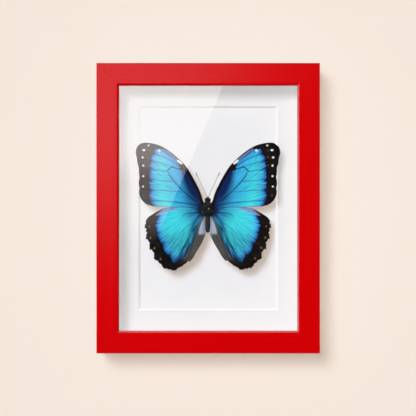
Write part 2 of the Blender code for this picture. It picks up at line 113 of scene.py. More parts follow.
# Words in the names of the pieces behind the glass: the mat and its spacers, and what lies on the board
MAT_WORDS = ("mat_board", "spacer")
BOARD_WORDS = ("mounting_foam", "wing", "butterfly", "antenna", "insect_pin")

# Stage: distances in metres; above the film's white, light clips
FLOOR_Z = -0.3
LENS_DISTANCE = 1.15
SOFTBOX_DISTANCE = 1.6
SOFTBOX_RADIANCE = 3.2
FILM_WHITE = 1.5

# Sockets of a colour Mix node, whose own names it uses more than once
MIX_FACTOR = 0
MIX_A = 6
MIX_B = 7

# Edges of the right wings, (across, up). The left wings mirror them about the body's axis.
FOREWING_EDGE = (
    (2.2, 3.6), (3.3, 5.6), (4.2, 9.0), (5.9, 13.5), (8.2, 18.0), (10.2, 21.8), (12.5, 25.8), (15.2, 30.0),
    (17.5, 32.9), (20.3, 35.5), (24.5, 39.3), (28.0, 42.0), (31.5, 44.3), (35.0, 46.1),
    (38.5, 47.2), (42.0, 47.9), (45.0, 48.2), (48.0, 48.0), (50.3, 46.7), (52.0, 44.9),
    (52.8, 42.5), (53.0, 40.2), (52.3, 38.0), (51.9, 35.8), (51.7, 33.0), (51.0, 31.0),
    (50.5, 29.7), (50.6, 27.5), (50.4, 25.0), (49.9, 23.0), (50.4, 20.5), (50.7, 18.0),
    (50.3, 15.8), (50.0, 14.6), (50.5, 12.5), (50.4, 11.0), (49.9, 9.0), (48.7, 6.5),
    (47.5, 5.0), (46.0, 3.6), (44.0, 2.5), (41.5, 1.8), (38.0, 1.3), (34.0, 1.1), (29.0, 1.0),
    (24.0, 0.8), (19.0, 0.6), (14.0, 0.3), (9.0, -0.6), (4.0, -1.6), (1.5, 0.5),
)
HINDWING_EDGE = (
    (3.0, 0.4), (15.0, 1.4), (24.0, 1.2), (30.0, 0.5), (33.0, -0.4), (36.0, -1.8), (38.5, -3.2),
    (41.0, -4.8), (43.3, -6.3), (44.8, -8.0), (45.5, -10.0), (45.4, -11.3), (46.2, -12.6),
    (46.2, -14.3), (45.1, -14.6), (45.2, -15.8), (45.1, -17.0), (44.5, -18.0), (45.0, -19.5),
    (45.3, -20.8), (45.2, -22.3), (44.2, -22.8), (43.5, -23.8), (42.8, -24.8), (42.6, -26.3),
    (42.7, -28.0), (42.6, -29.3), (42.1, -30.3), (41.0, -30.3), (40.4, -31.0), (40.0, -32.0),
    (39.2, -32.9), (39.3, -34.0), (39.5, -35.3), (39.1, -36.8), (38.3, -37.8), (37.2, -37.8),
    (36.6, -38.0), (36.2, -39.0), (35.3, -39.9), (34.2, -40.6), (33.5, -41.5), (32.8, -43.0),
    (31.5, -43.9), (30.0, -43.8), (29.2, -44.3), (27.6, -44.5), (26.8, -44.4), (26.0, -45.0),
    (25.0, -45.3), (23.5, -45.0), (22.3, -44.3), (21.5, -43.3), (20.0, -42.9), (18.5, -42.0),
    (15.5, -39.7), (14.3, -38.4), (13.3, -38.7), (12.4, -38.4), (11.2, -36.8), (9.8, -35.0),
    (8.5, -32.5), (6.5, -29.4), (4.5, -26.0), (3.0, -23.0), (2.1, -20.6), (1.5, -19.0),
    (1.2, -17.0), (1.0, -12.0), (1.0, -7.0), (1.0, -3.0),
)
# Leading and trailing stretches of those edges
FOREWING_LEADING = FOREWING_EDGE[:15]
FOREWING_TRAILING = FOREWING_EDGE[39:]
HINDWING_LEADING = HINDWING_EDGE[3:9]

# Where the blue field ends. Its edge is scalloped between the veins on the outer side.
FOREWING_FIELD = (
    (36.0, 44.5), (38.5, 43.9), (40.0, 42.5), (40.2, 41.2), (39.8, 40.3), (41.3, 39.6),
    (42.2, 38.3), (42.5, 36.8), (42.3, 35.5), (41.9, 34.7), (42.7, 34.0), (43.2, 32.0),
    (43.2, 29.9), (42.6, 29.0), (42.1, 28.5), (42.9, 27.8), (43.7, 26.0), (43.8, 24.4),
    (43.4, 22.4), (42.6, 21.6), (42.1, 21.0), (42.8, 20.4), (43.6, 18.8), (43.7, 17.0),
    (43.3, 14.7), (42.5, 13.7), (42.0, 13.1), (42.7, 12.4), (43.4, 10.8), (43.5, 9.0),
    (43.0, 7.0), (42.2, 6.2), (41.8, 5.7), (42.4, 5.0), (42.6, 3.8), (41.6, 2.4), (40.5, 1.4),
    (40.0, -4.0), (0.0, -6.0), (0.0, 5.0), (4.8, 7.0), (6.1, 10.0), (8.1, 14.6), (10.9, 20.2), (13.8, 25.2),
    (15.6, 27.3), (20.0, 28.2), (20.2, 29.6), (20.8, 31.6), (22.2, 34.2), (24.2, 36.7),
    (27.0, 39.2), (30.0, 41.4), (33.0, 43.2),
)
HINDWING_FIELD = (
    (-4.0, 6.0), (24.0, 5.0), (33.0, 1.5), (36.6, -3.4), (36.6, -6.5), (37.5, -8.0),
    (38.6, -9.5), (37.8, -11.0), (38.3, -12.2), (37.8, -14.0), (37.3, -16.0), (36.4, -17.6),
    (36.6, -18.8), (35.5, -21.0), (35.4, -23.0), (34.0, -24.5), (32.6, -25.3), (32.7, -26.5),
    (32.3, -28.0), (31.8, -29.5), (31.0, -31.0), (30.3, -32.6), (29.2, -33.2), (28.0, -33.4),
    (27.6, -34.5), (26.8, -36.0), (25.8, -37.5), (24.6, -39.2), (23.4, -38.8), (21.5, -37.6),
    (19.5, -36.6), (17.0, -35.6), (13.0, -33.0), (7.0, -27.0), (2.0, -20.0), (-2.0, -12.0),
    (-4.0, -4.0),
)

# Veins: how dark, half width, then their points
FOREWING_VEINS = (
    (0.9, 0.45, ((28.5, 26.0), (28.0, 24.5), (25.5, 21.0), (23.0, 18.0), (20.0, 15.0),
                 (17.0, 12.0), (13.5, 9.0), (11.0, 7.0), (5.0, 3.0))),
    (0.7, 0.35, ((21.0, 31.0), (24.0, 33.2), (28.0, 35.5), (32.0, 37.5), (36.0, 39.0), (40.0, 40.0))),
    (0.6, 0.35, ((25.0, 30.5), (30.0, 32.0), (35.0, 33.5), (41.5, 34.8))),
    (0.7, 0.35, ((29.5, 27.0), (35.0, 27.9), (42.0, 28.5))),
    (0.6, 0.35, ((24.5, 20.0), (29.5, 19.9), (35.0, 20.3), (41.0, 21.0))),
    (0.6, 0.35, ((18.5, 11.7), (21.0, 12.2), (25.0, 12.4), (30.0, 13.0), (36.0, 13.2), (42.0, 13.2))),
    (0.7, 0.40, ((5.0, 2.3), (10.0, 3.0), (16.0, 3.8), (22.0, 4.4), (28.0, 5.0), (34.0, 5.5),
                 (42.0, 5.8))),
    (0.35, 0.30, ((29.0, 31.0), (33.0, 31.2), (37.0, 31.7))),
    (0.35, 0.30, ((35.0, 24.9), (41.0, 25.0))),
    (0.35, 0.30, ((36.0, 17.4), (42.0, 17.3))),
)
HINDWING_VEINS = (
    (0.8, 0.40, ((5.0, -3.0), (9.0, -3.2), (13.0, -3.4), (16.0, -4.0), (18.0, -5.3))),
    (0.85, 0.40, ((5.0, -4.5), (8.0, -8.0), (10.5, -10.5), (13.0, -12.0), (16.0, -14.0), (19.0, -16.5))),
    (0.4, 0.45, ((19.0, -16.5), (22.0, -19.0), (27.0, -24.0), (31.0, -28.0))),
    (0.7, 0.60, ((6.0, -5.0), (9.0, -10.0), (11.0, -12.5), (12.5, -18.0), (14.0, -23.0),
                 (17.0, -28.0), (19.5, -33.0))),
    (0.5, 0.50, ((17.0, -17.0), (19.0, -22.0), (20.0, -27.0), (20.5, -31.0), (21.5, -35.0))),
    (0.5, 0.50, ((20.0, -18.0), (23.0, -23.0), (26.0, -28.0), (28.0, -33.0))),
    (0.35, 0.40, ((22.0, -17.0), (27.0, -21.5), (31.0, -24.5), (33.0, -25.3))),
    (0.3, 0.35, ((24.0, -12.0), (30.0, -15.0), (36.0, -19.0))),
    (0.25, 0.35, ((22.0, -7.0), (29.0, -8.5), (38.0, -10.8))),
)

# Black bar that closes the forewing's cell, and the blob where it meets the leading edge
FOREWING_BAR = ((19.0, 28.6), (21.5, 29.0), (25.0, 30.0), (27.0, 30.1), (28.5, 28.6), (29.5, 27.1))
# Dark line behind the pale streaks
FOREWING_COSTAL_LINE = ((21.2, 33.6), (24.0, 36.0), (27.0, 38.6), (30.0, 40.9), (33.6, 43.3))
FOREWING_BLOB = (
    (14.2, 28.6), (17.3, 32.6), (18.6, 33.0), (19.9, 31.6), (19.8, 29.9), (21.2, 29.0),
    (20.2, 28.0), (17.4, 27.8), (16.0, 27.2),
)
# Pale streaks along the forewing's leading edge: half width, then their points
FOREWING_WHITE_STREAK = (0.75, ((19.2, 33.0), (20.4, 33.9), (21.6, 34.8)))
FOREWING_LILAC_STREAK = (0.6, ((22.0, 35.2), (24.0, 37.1), (27.0, 39.5), (30.0, 41.7), (32.8, 43.3)))

# Spots: across, up, half width, half height, strength
FOREWING_WHITE_SPOTS = (
    (43.5, 46.1, 0.80, 0.50, 0.85), (46.9, 42.7, 1.10, 0.72, 1.00), (47.8, 37.3, 0.85, 0.65, 1.00),
    (47.3, 31.3, 0.68, 0.75, 1.00), (47.3, 23.6, 0.70, 0.65, 1.00), (47.5, 15.9, 0.65, 0.62, 1.00),
    (35.5, 42.5, 1.00, 0.75, 1.00),
)
FOREWING_BROWN_SPOTS = (
    (43.8, 42.5, 0.6, 0.9, 0.28), (44.3, 31.5, 0.5, 0.6, 0.35), (47.0, 9.3, 0.6, 0.9, 0.4),
    (44.0, 37.5, 1.0, 1.0, 0.18),
)
HINDWING_BROWN_SPOTS = (
    (42.7, -13.3, 0.5, 0.7, 0.9), (42.0, -21.6, 0.6, 0.8, 0.9), (39.0, -29.1, 0.6, 0.8, 0.9),
    (34.5, -36.9, 0.5, 0.9, 0.9), (13.5, -37.3, 0.7, 0.5, 0.7),
)

# Hindwing: bare lilac strip in front of the field, lilac-white patch beside the abdomen, grey fold
HINDWING_STRIP = (
    (14.0, 3.0), (16.0, 0.0), (22.0, -0.7), (26.0, -1.5), (29.0, -2.3), (32.5, -3.4),
    (35.5, -4.7), (37.8, -5.4), (37.0, -4.2), (34.8, -2.6), (32.0, -0.8), (30.0, 3.0),
)
HINDWING_PATCH = (
    (0.5, -5.5), (2.6, -6.6), (3.5, -8.5), (4.7, -11.0), (5.5, -13.0), (6.3, -16.0), (6.8, -19.8),
    (0.5, -20.5),
)
# Where the grey fold meets the blue, from the thorax to the lower edge
HINDWING_CREASE = (
    (2.0, -3.5), (3.6, -6.0), (4.9, -8.5), (6.5, -12.0), (7.6, -16.0), (8.6, -20.0),
    (10.2, -24.0), (12.1, -28.0), (13.8, -31.0), (15.9, -34.2), (19.0, -37.4), (22.0, -39.6),
)
HINDWING_FOLD = (*HINDWING_CREASE, (20.0, -43.0), (12.0, -42.0), (4.0, -34.0), (-1.0, -22.0), (-1.0, -3.5))

# Wing markings in the order in which they lie over each other, with their colours
WING_LAYERS = (
    ("deep", "#35A0DA"), ("dusk", "#0D1F50"), ("vein", "#12335F"), ("crease", "#12182C"),
    ("fold", "#53504E"), ("ink", "#120C0C"), ("lilac", "#8C8AB4"), ("patch", "#A5A9BC"),
    ("brown", "#9A6A3C"), ("white", "#F4F3F8"),
)

# Body from the brow down to the abdomen's tip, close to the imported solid: height, half width,
# half depth and how far the centre lies behind the thorax's middle, in millimetres
BODY_SECTIONS = (
    (8.0, 0.6, 0.5, -0.5), (7.9, 0.9, 0.8, -0.5), (7.3, 1.7, 1.5, -0.5), (6.2, 2.1, 1.9, -0.4),
    (5.3, 1.9, 1.8, -0.3), (4.7, 1.6, 1.6, -0.2), (4.0, 2.5, 2.6, -0.1), (2.6, 3.7, 3.5, 0.0),
    (0.4, 4.6, 3.9, 0.0), (-1.8, 4.7, 3.8, 0.0), (-3.8, 3.5, 3.0, 0.2), (-5.2, 2.1, 1.9, 0.3),
    (-6.4, 1.8, 2.0, 0.4), (-9.0, 1.95, 2.2, 0.6), (-12.5, 2.0, 2.2, 0.9), (-15.6, 1.9, 1.8, 1.1),
    (-17.0, 1.7, 1.2, 1.2), (-17.8, 1.0, 0.7, 1.2),
)
BODY_RINGS = 110
BODY_SIDES = 40
WAIST = -5.2
ABDOMEN_TOP = -6.0
ABDOMEN_SEGMENT = 1.6
ANTENNA_ROOT_RADIUS = 0.13
ANTENNA_CLUB_RADIUS = 0.27
ANTENNA_JOINT = 0.55


def linear(code):
    """Linear colour of an sRGB hex code."""
    channels = [int(code[i:i + 2], 16) / 255 for i in (1, 3, 5)]
    straight = [c / 12.92 if c <= 0.04045 else ((c + 0.055) / 1.055) ** 2.4 for c in channels]
    return (*straight, 1.0)


def colour_setting(name, description, code):
    """Colour property whose default is an sRGB hex code."""
    default = linear(code)[:3]
    return FloatVectorProperty(
        name=name, description=description, subtype="COLOR", size=3, min=0.0, max=1.0, default=default
    )


def length_setting(name, description, default, least, most):
    """Length property in metres."""
    measure = {"subtype": "DISTANCE", "unit": "LENGTH"}
    return FloatProperty(name=name, description=description, default=default, min=least, max=most, **measure)


class RailSettings(bpy.types.PropertyGroup):
    """Red box frame."""

    lacquer_colour: colour_setting("Lacquer", "Colour of the sprayed lacquer", "#CA0003")
    edge_round: length_setting(
        "Edge rounding", "How far the sanded outer edges are rounded", 0.45 * MM, 0.1 * MM, 2.0 * MM
    )


class BackingSettings(bpy.types.PropertyGroup):
    """Glass, mat, boards and fittings."""

    mat_colour: colour_setting("Mat", "Colour of the window mat's face", "#E9E5E8")
    board_colour: colour_setting("Mounting board", "Colour of the board behind the butterfly", "#EEEAEE")


class ButterflySettings(bpy.types.PropertyGroup):
    """Wings and body."""

    field_colour: colour_setting("Blue field", "Colour of the wings' brightest blue", "#41D4E2")
    border_colour: colour_setting("Border", "Colour of the wings' dark border", "#090707")
    hair_count: IntProperty(
        name="Hairs", description="Number of hairs on the head and thorax", default=2200, min=0, max=8000
    )
    hair_length: length_setting("Hair length", "Length of the longest hairs", 1.5 * MM, 0.2 * MM, 4.0 * MM)


class StageSettings(bpy.types.PropertyGroup):
    """Wall, lights and camera."""

    wall_colour: colour_setting("Wall", "Colour of the painted wall", "#EEE0D5")
    key_strength: FloatProperty(
        name="Key light",
        description="Strength of the soft, cool light from the upper left",
        default=1.70,
        min=0.0,
    )
    fill_power: FloatProperty(
        name="Lens fill",
        description="Power of the warm light beside the lens",
        subtype="POWER",
        unit="POWER",
        default=36.8,
        min=0.0,
    )
    camera_distance: length_setting(
        "Camera distance", "From the lens to the frame's front face", LENS_DISTANCE, 0.3, 5.0
    )
    view_width: length_setting(
        "View width", "Width that the camera takes in at the frame's front face", 0.3034, 0.1, 2.0
    )


# Nodes and materials

def add_node(tree, kind, inputs=(), stops=(), **settings):
    """Add a node to the tree.

    Inputs maps a socket's name or number to a value, to an output, or to a node whose first output in use
    feeds it. Stops are a colour ramp's (position, colour) pairs.
    """
    node = tree.nodes.new("ShaderNode" + kind)
    for name, value in settings.items():
        setattr(node, name, value)
    for socket, value in dict(inputs).items():
        if isinstance(value, bpy.types.Node):
            value = next(output for output in value.outputs if output.enabled)
        if isinstance(value, bpy.types.NodeSocket):
            tree.links.new(value, node.inputs[socket])
        else:
            node.inputs[socket].default_value = value
    for number, (position, colour) in enumerate(stops):
        elements = node.color_ramp.elements
        element = elements[number] if number < 2 else elements.new(position)
        element.position = position
        element.color = colour
    return node


def emptied_tree(owner):
    """The owner's node tree without its default nodes, as a function that adds a node to it."""
    owner.use_nodes = True
    owner.node_tree.nodes.clear()
    return partial(add_node, owner.node_tree)


def start_material(name):
    """New material, and the function that adds a node to it."""
    material = bpy.data.materials.new(name)
    return material, emptied_tree(material)


def finish_material(material, shader):
    """The material, with the shader as its surface."""
    add_node(material.node_tree, "OutputMaterial", {"Surface": shader})
    return material


def red_lacquer(settings):
    """Polyurethane lacquer sprayed on sanded pine: a glossy film with a fine orange peel."""
    material, add = start_material("sprayed_red_polyurethane_lacquer")
    place = add("TexCoord").outputs["Object"]
    # Orange peel has cells of about 1.5 mm; grain telegraphs through in 0.8 mm lines, 40 mm long.
    peel = add("TexNoise", {"Vector": place, "Scale": 1 / (1.5 * MM), "Detail": 2.0})
    line_scale = (1 / (40 * MM), 1 / (0.8 * MM), 1 / (0.8 * MM))
    stretched = add("Mapping", {"Vector": place, "Scale": line_scale})
    grain = add("TexNoise", {"Vector": stretched, "Scale": 1.0, "Detail": 3.0})
    red = (*settings.lacquer_colour, 1.0)
    deeper = (red[0] * 0.93, red[1] * 0.85, red[2] * 0.85, 1.0)
    colour = add("ValToRGB", {"Fac": grain}, ((0.35, deeper), (0.6, red)))
    sheen = {"Value": peel, "From Min": 0.3, "From Max": 0.7, "To Min": 0.17, "To Max": 0.22}
    shine = add("MapRange", sheen)
    peel_bump = add("Bump", {"Height": peel, "Strength": 0.12, "Distance": 0.02 * MM})
    relief = {"Height": grain, "Strength": 0.15, "Distance": 0.02 * MM, "Normal": peel_bump}
    bump = add("Bump", relief)
    film = {"Base Color": colour, "Roughness": shine, "IOR": 1.5, "Specular IOR Level": 0.3, "Normal": bump}
    return finish_material(material, add("BsdfPrincipled", film))


def sawn_pine(settings):
    """Unfinished planed pine on the rails' backs: pale rings, with red overspray at the outer edge."""
    material, add = start_material("planed_pine_with_overspray")
    place = add("TexCoord").outputs["Object"]
    # Growth rings stand 2.5 mm apart and run almost along the rail; fibres are 0.4 mm wide.
    lie = {"Vector": place, "Scale": (0.05, 1.0, 1.0), "Rotation": (0.0, 0.01, 0.03)}
    along = add("Mapping", lie)
    ring_scale = 0.31 / (2.5 * MM)
    waves = {"Vector": along, "Scale": ring_scale, "Distortion": 3.0, "Detail": 2.0, "Detail Scale": 2.0}
    rings = add("TexWave", waves, bands_direction="Z").outputs["Fac"]
    fibres = add("TexNoise", {"Vector": along, "Scale": 1 / (0.4 * MM), "Detail": 3.0})
    wood = add("ValToRGB", {"Fac": rings}, ((0.2, linear("#D9B483")), (0.95, linear("#B98A52"))))
    mottle = {MIX_FACTOR: fibres, MIX_A: wood, MIX_B: linear("#C79C66")}
    mottled = add("Mix", mottle, data_type="RGBA")
    # Overspray: solid for the first millimetre from the outer side, gone by three.
    height = add("SeparateXYZ", {"Vector": place}).outputs["Z"]
    speckle = add("TexNoise", {"Vector": place, "Scale": 1 / (0.5 * MM)})
    ragged = add("Math", {0: speckle, 1: 3.0 * MM, 2: height}, operation="MULTIPLY_ADD")
    reach = {"Value": ragged, "From Min": 1.8 * MM, "From Max": 3.4 * MM, "To Min": 1.0, "To Max": 0.0}
    spray = add("MapRange", reach)
    paint = {MIX_FACTOR: spray, MIX_A: mottled, MIX_B: (*settings.lacquer_colour, 1.0)}
    colour = add("Mix", paint, data_type="RGBA")
    bump = add("Bump", {"Height": fibres, "Strength": 0.4, "Distance": 0.05 * MM})
    wood_face = {"Base Color": colour, "Roughness": 0.72, "IOR": 1.5, "Normal": bump}
    return finish_material(material, add("BsdfPrincipled", wood_face))


def float_glass():
    """Float glass: dead flat but for a very slow draw wave, so reflections keep straight edges."""
    material, add = start_material("clear_float_glass")
    place = add("TexCoord").outputs["Object"]
    # The draw wave is about 60 mm long.
    wave = add("TexNoise", {"Vector": place, "Scale": 1 / (60 * MM)})
    bump = add("Bump", {"Height": wave, "Strength": 0.05, "Distance": 0.02 * MM})
    glass = {
        "Base Color": linear("#FBFEFD"),
        "Roughness": 0.0,
        "IOR": 1.52,
        "Transmission Weight": 1.0,
        "Specular Tint": linear("#FFF6E8"),
        "Normal": bump,
    }
    return finish_material(material, add("BsdfPrincipled", glass))


def paper_face(name, colour, fibre, relief):
    """Calendered paper: a matt white with a faint cloud of fibres, each about a fibre's width."""
    material, add = start_material(name)
    place = add("TexCoord").outputs["Object"]
    cloud = add("TexNoise", {"Vector": place, "Scale": 1 / (12 * MM), "Detail": 3.0})
    tooth = add("TexNoise", {"Vector": place, "Scale": 1 / fibre, "Detail": 4.0, "Roughness": 0.7})
    duller = tuple(channel * 0.985 for channel in colour[:3])
    tone = add("ValToRGB", {"Fac": cloud}, ((0.35, (*duller, 1.0)), (0.65, (*colour[:3], 1.0))))
    bump = add("Bump", {"Height": tooth, "Strength": 0.3, "Distance": relief})
    paper = {"Base Color": tone, "Roughness": 0.9, "IOR": 1.45, "Specular IOR Level": 0.25, "Normal": bump}
    return finish_material(material, add("BsdfPrincipled", paper))


def tempered_hardboard():
    """Hardboard pressed from wood fibre: warm brown, slightly waxy, flecked with darker fibres."""
    material, add = start_material("tempered_hardboard")
    place = add("TexCoord").outputs["Object"]
    # Fibre flecks are about 1.2 mm across, and the felt between them is of 0.7 mm tufts.
    flecks = add("TexVoronoi", {"Vector": place, "Scale": 1 / (1.2 * MM), "Randomness": 1.0})
    tufts = {"Vector": place, "Scale": 1 / (0.7 * MM), "Detail": 5.0, "Roughness": 0.7}
    felt = add("TexNoise", tufts)
    base = add("ValToRGB", {"Fac": felt}, ((0.3, linear("#6A4526")), (0.7, linear("#8C6239"))))
    flecked = {MIX_FACTOR: flecks, MIX_A: base, MIX_B: linear("#9A7146")}
    colour = add("Mix", flecked, data_type="RGBA")
    bump = add("Bump", {"Height": felt, "Strength": 0.35, "Distance": 0.05 * MM})
    board = {"Base Color": colour, "Roughness": 0.55, "IOR": 1.5, "Normal": bump}
    return finish_material(material, add("BsdfPrincipled", board))


def stamped_metal(name, colour, spangle, roughness):
    """Plated sheet steel: a soft metal shine, clouded by the plating's crystals."""
    material, add = start_material(name)
    place = add("TexCoord").outputs["Object"]
    crystals = add("TexVoronoi", {"Vector": place, "Scale": 1 / spangle}).outputs["Color"]
    # Handling scratches are 0.3 mm apart.
    scratches = add("TexNoise", {"Vector": place, "Scale": 1 / (0.3 * MM), "Detail": 4.0})
    dim = tuple(channel * 0.82 for channel in linear(colour)[:3])
    clouding = {MIX_FACTOR: crystals, MIX_A: linear(colour), MIX_B: (*dim, 1.0)}
    tone = add("Mix", clouding, data_type="RGBA")
    shine = add("MapRange", {"Value": scratches, "To Min": roughness - 0.08, "To Max": roughness + 0.12})
    bump = add("Bump", {"Height": scratches, "Strength": 0.2, "Distance": 0.02 * MM})
    plate = {"Base Color": tone, "Metallic": 1.0, "Roughness": shine, "Normal": bump}
    return finish_material(material, add("BsdfPrincipled", plate))


def wing_scales(settings):
    """Structural blue scales on a brown-black ground: colour bands follow the field's edge.

    The mesh carries where each marking lies; the layers below paint them in turn.
    """
    material, add = start_material("iridescent_morpho_scales")
    border = (*settings.border_colour, 1.0)
    marks = {}
    for name in ("field", "grain", "shade", *(layer[0] for layer in WING_LAYERS)):
        node = add("Attribute", attribute_name=name)
        marks[name] = node.outputs["Vector" if name == "grain" else "Fac"]
    # Scale rows are 0.1 mm apart in life; here streaks are 0.9 mm wide and 9 mm long, so that they show.
    along = add("Mapping", {"Vector": marks["grain"], "Scale": (1 / 9, 1 / 0.9, 1.0)})
    streaks = add("TexNoise", {"Vector": along, "Scale": 1.0, "Detail": 4.0})
    # Loose scales give specks of 0.7 mm, and wear gives clouds of 5 mm.
    specks = add("TexNoise", {"Vector": marks["grain"], "Scale": 1 / 0.7, "Detail": 2.0})
    clouds = add("TexNoise", {"Vector": marks["grain"], "Scale": 1 / 5, "Detail": 2.0})
    # Streaks carry the field's edge in and out by up to 0.7 mm, which is 0.08 of the band.
    swings = (
        (streaks, 0.3, 0.7, -0.08, 0.08),
        (streaks, 0.35, 0.65, 1.4, 0.6),
        (streaks, 0.3, 0.7, 0.76, 1.22),
        (specks, 0.3, 0.7, 0.88, 1.12),
    )
    shift, streaky, light, speck = (
        add("MapRange", {"Value": noise, "From Min": a, "From Max": b, "To Min": c, "To Max": d})
        for noise, a, b, c, d in swings
    )
    edge = add("Math", {0: marks["field"], 1: shift}, operation="ADD")
    worn = add("ValToRGB", {"Fac": clouds}, ((0.5, border), (0.8, linear("#1D1714"))))
    blues = (
        (0.09, (0.0, 0.0, 0.0, 1.0)),
        (1.0, (*settings.field_colour, 1.0)),
        (0.165, linear("#16204F")),
        (0.24, linear("#265EA8")),
        (0.32, linear("#338AD0")),
        (0.46, linear("#3EB0E3")),
        (0.63, linear("#47C8EC")),
    )
    bands = add("ValToRGB", {"Fac": edge}, blues)
    outside = {"Value": edge, "From Min": 0.08, "From Max": 0.18, "To Min": 1.0, "To Max": 0.0}
    ground = add("MapRange", outside)
    layer = add("Mix", {MIX_FACTOR: ground, MIX_A: bands, MIX_B: worn}, data_type="RGBA")
    marks["streaked_shade"] = add("Math", {0: marks["shade"], 1: streaky}, operation="MULTIPLY")
    for name, code in (("streaked_shade", "#10305C"), *WING_LAYERS):
        layered = {MIX_FACTOR: marks[name], MIX_A: layer, MIX_B: linear(code)}
        layer = add("Mix", layered, data_type="RGBA")
    value = add("Math", {0: light, 1: speck}, operation="MULTIPLY")
    toned = add("HueSaturation", {"Color": layer, "Value": value})
    bump = add("Bump", {"Height": streaks, "Strength": 0.3, "Distance": 0.1 * MM})
    scales = {"Base Color": toned, "Roughness": 0.55, "IOR": 1.45, "Specular IOR Level": 0.15, "Normal": bump}
    return finish_material(material, add("BsdfPrincipled", scales))


def wing_underside():
    """Camouflage scales under the wings: mottled brown, with pale bands along the edge."""
    material, add = start_material("brown_underwing_scales")
    grain = add("Attribute", attribute_name="grain").outputs["Vector"]
    field = add("Attribute", attribute_name="field").outputs["Fac"]
    # Mottling is about 2.5 mm across.
    mottle = add("TexNoise", {"Vector": grain, "Scale": 1 / 2.5, "Detail": 3.0})
    brown = add("ValToRGB", {"Fac": mottle}, ((0.3, linear("#3F2D20")), (0.7, linear("#7B6147"))))
    greys = [(at, (level, level, level, 1.0)) for at, level in ((0.0, 0.0), (0.14, 0.5), (0.22, 0.0))]
    band = add("ValToRGB", {"Fac": field}, greys)
    banded = {MIX_FACTOR: band, MIX_A: brown, MIX_B: linear("#B8A078")}
    colour = add("Mix", banded, data_type="RGBA")
    scales = {"Base Color": colour, "Roughness": 0.7, "IOR": 1.45}
    return finish_material(material, add("BsdfPrincipled", scales))


def chitin(name, dark, pale, roughness):
    """Insect cuticle: near black, with a waxy shine broken by fine pits."""
    material, add = start_material(name)
    place = add("TexCoord").outputs["Object"]
    # Pits and scale tufts are 0.5 mm across.
    pitting = {"Vector": place, "Scale": 1 / (0.5 * MM), "Detail": 3.0, "Roughness": 0.6}
    pits = add("TexNoise", pitting)
    colour = add("ValToRGB", {"Fac": pits}, ((0.4, linear(dark)), (0.7, linear(pale))))
    bump = add("Bump", {"Height": pits, "Strength": 0.6, "Distance": 0.1 * MM})
    skin = {"Base Color": colour, "Roughness": roughness, "IOR": 1.56, "Normal": bump}
    return finish_material(material, add("BsdfPrincipled", skin))


def body_hair():
    """Hair scales: dull, from black to grey from one hair to the next."""
    material, add = start_material("grey_black_hair_scales")
    tint = add("Attribute", attribute_name="tint").outputs["Fac"]
    greys = ((0.0, linear("#020203")), (1.0, linear("#8A9098")), (0.5, linear("#0D1014")))
    colour = add("ValToRGB", {"Fac": tint}, greys)
    hairs = {"Base Color": colour, "Roughness": 0.65, "IOR": 1.45}
    return finish_material(material, add("BsdfPrincipled", hairs))


# Mesh helpers

def add_piece(name, mesh, materials, replaced, place=(0.0, 0.0, 0.0), turn_y=0.0):
    """Put a finished mesh on the frame in place of the CAD nodes that it stands for."""
    piece = bpy.data.objects.new(name, mesh)
    for material in materials:
        mesh.materials.append(material)
    piece.location = place
    piece.rotation_euler = (0.0, turn_y, 0.0)
    bpy.context.collection.objects.link(piece)
    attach(piece, "root")
    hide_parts(*replaced)
    return piece


def mesh_from(bm, name):
    """Mesh made from a bmesh, with its faces pointing out."""
    bmesh.ops.recalc_face_normals(bm, faces=bm.faces)
    mesh = bpy.data.meshes.new(name)
    bm.to_mesh(mesh)
    bm.free()
    return mesh


def finish_mesh(bm, name, sharp_angle=35.0):
    """Smooth-shaded mesh, sharp where it turns a corner."""
    mesh = mesh_from(bm, name)
    mesh.shade_smooth()
    mesh.set_sharp_from_angle(angle=math.radians(sharp_angle))
    return mesh


def softened(corners, steps=4, support=0.0):
    """Closed outline from (x, y, reach) corners, each rounded over its reach.

    Support adds a point that far outside each end of a rounding, so that the flats beside it shade flat.
    """
    outline = []
    count = len(corners)
    for i, (x, y, reach) in enumerate(corners):
        corner = Vector((x, y))
        if reach == 0.0:
            outline.append(corner)
            continue
        back = (Vector(corners[i - 1][:2]) - corner).normalized()
        ahead = (Vector(corners[(i + 1) % count][:2]) - corner).normalized()
        start = corner + back * reach
        end = corner + ahead * reach
        if support:
            outline.append(start + back * support)
        for step in range(steps + 1):
            t = step / steps
            outline.append(start * (1 - t) ** 2 + corner * 2 * t * (1 - t) + end * t * t)
        if support:
            outline.append(end + ahead * support)
    return outline


def even_angles(count):
    """Evenly spaced angles round a full turn."""
    return [2 * math.pi * i / count for i in range(count)]


def skinned(rings, closed=False, capped=False):
    """Bmesh of rings of points, skinned one after another; a ring of one point is a pole."""
    bm = bmesh.new()
    loops = [[bm.verts.new(point) for point in ring] for ring in rings]
    for loop, following in zip(loops, loops[1:] + loops[:1] if closed else loops[1:]):
        count = max(len(loop), len(following))
        for i in range(count):
            j = (i + 1) % count
            corners = [loop[i % len(loop)], loop[j % len(loop)]]
            corners += [following[j % len(following)], following[i % len(following)]]
            bm.faces.new(list(dict.fromkeys(corners)))
    if capped:
        bm.faces.new(loops[0])
        bm.faces.new(loops[-1])
    return bm


def plate_mesh(name, outline, thickness, arris):
    """Flat plate from an (x, z) outline, its front at y = 0, with its edges broken."""
    bm = bmesh.new()
    front = bm.faces.new([bm.verts.new((x, 0.0, z)) for x, z in outline])
    swept = bmesh.ops.extrude_face_region(bm, geom=[front])["geom"]
    moved = [item for item in swept if isinstance(item, bmesh.types.BMVert)]
    bmesh.ops.translate(bm, verts=moved, vec=(0.0, thickness, 0.0))
    bmesh.ops.bevel(bm, geom=list(bm.edges), offset=arris, segments=2, affect="EDGES", clamp_overlap=True)
    return finish_mesh(bm, name)


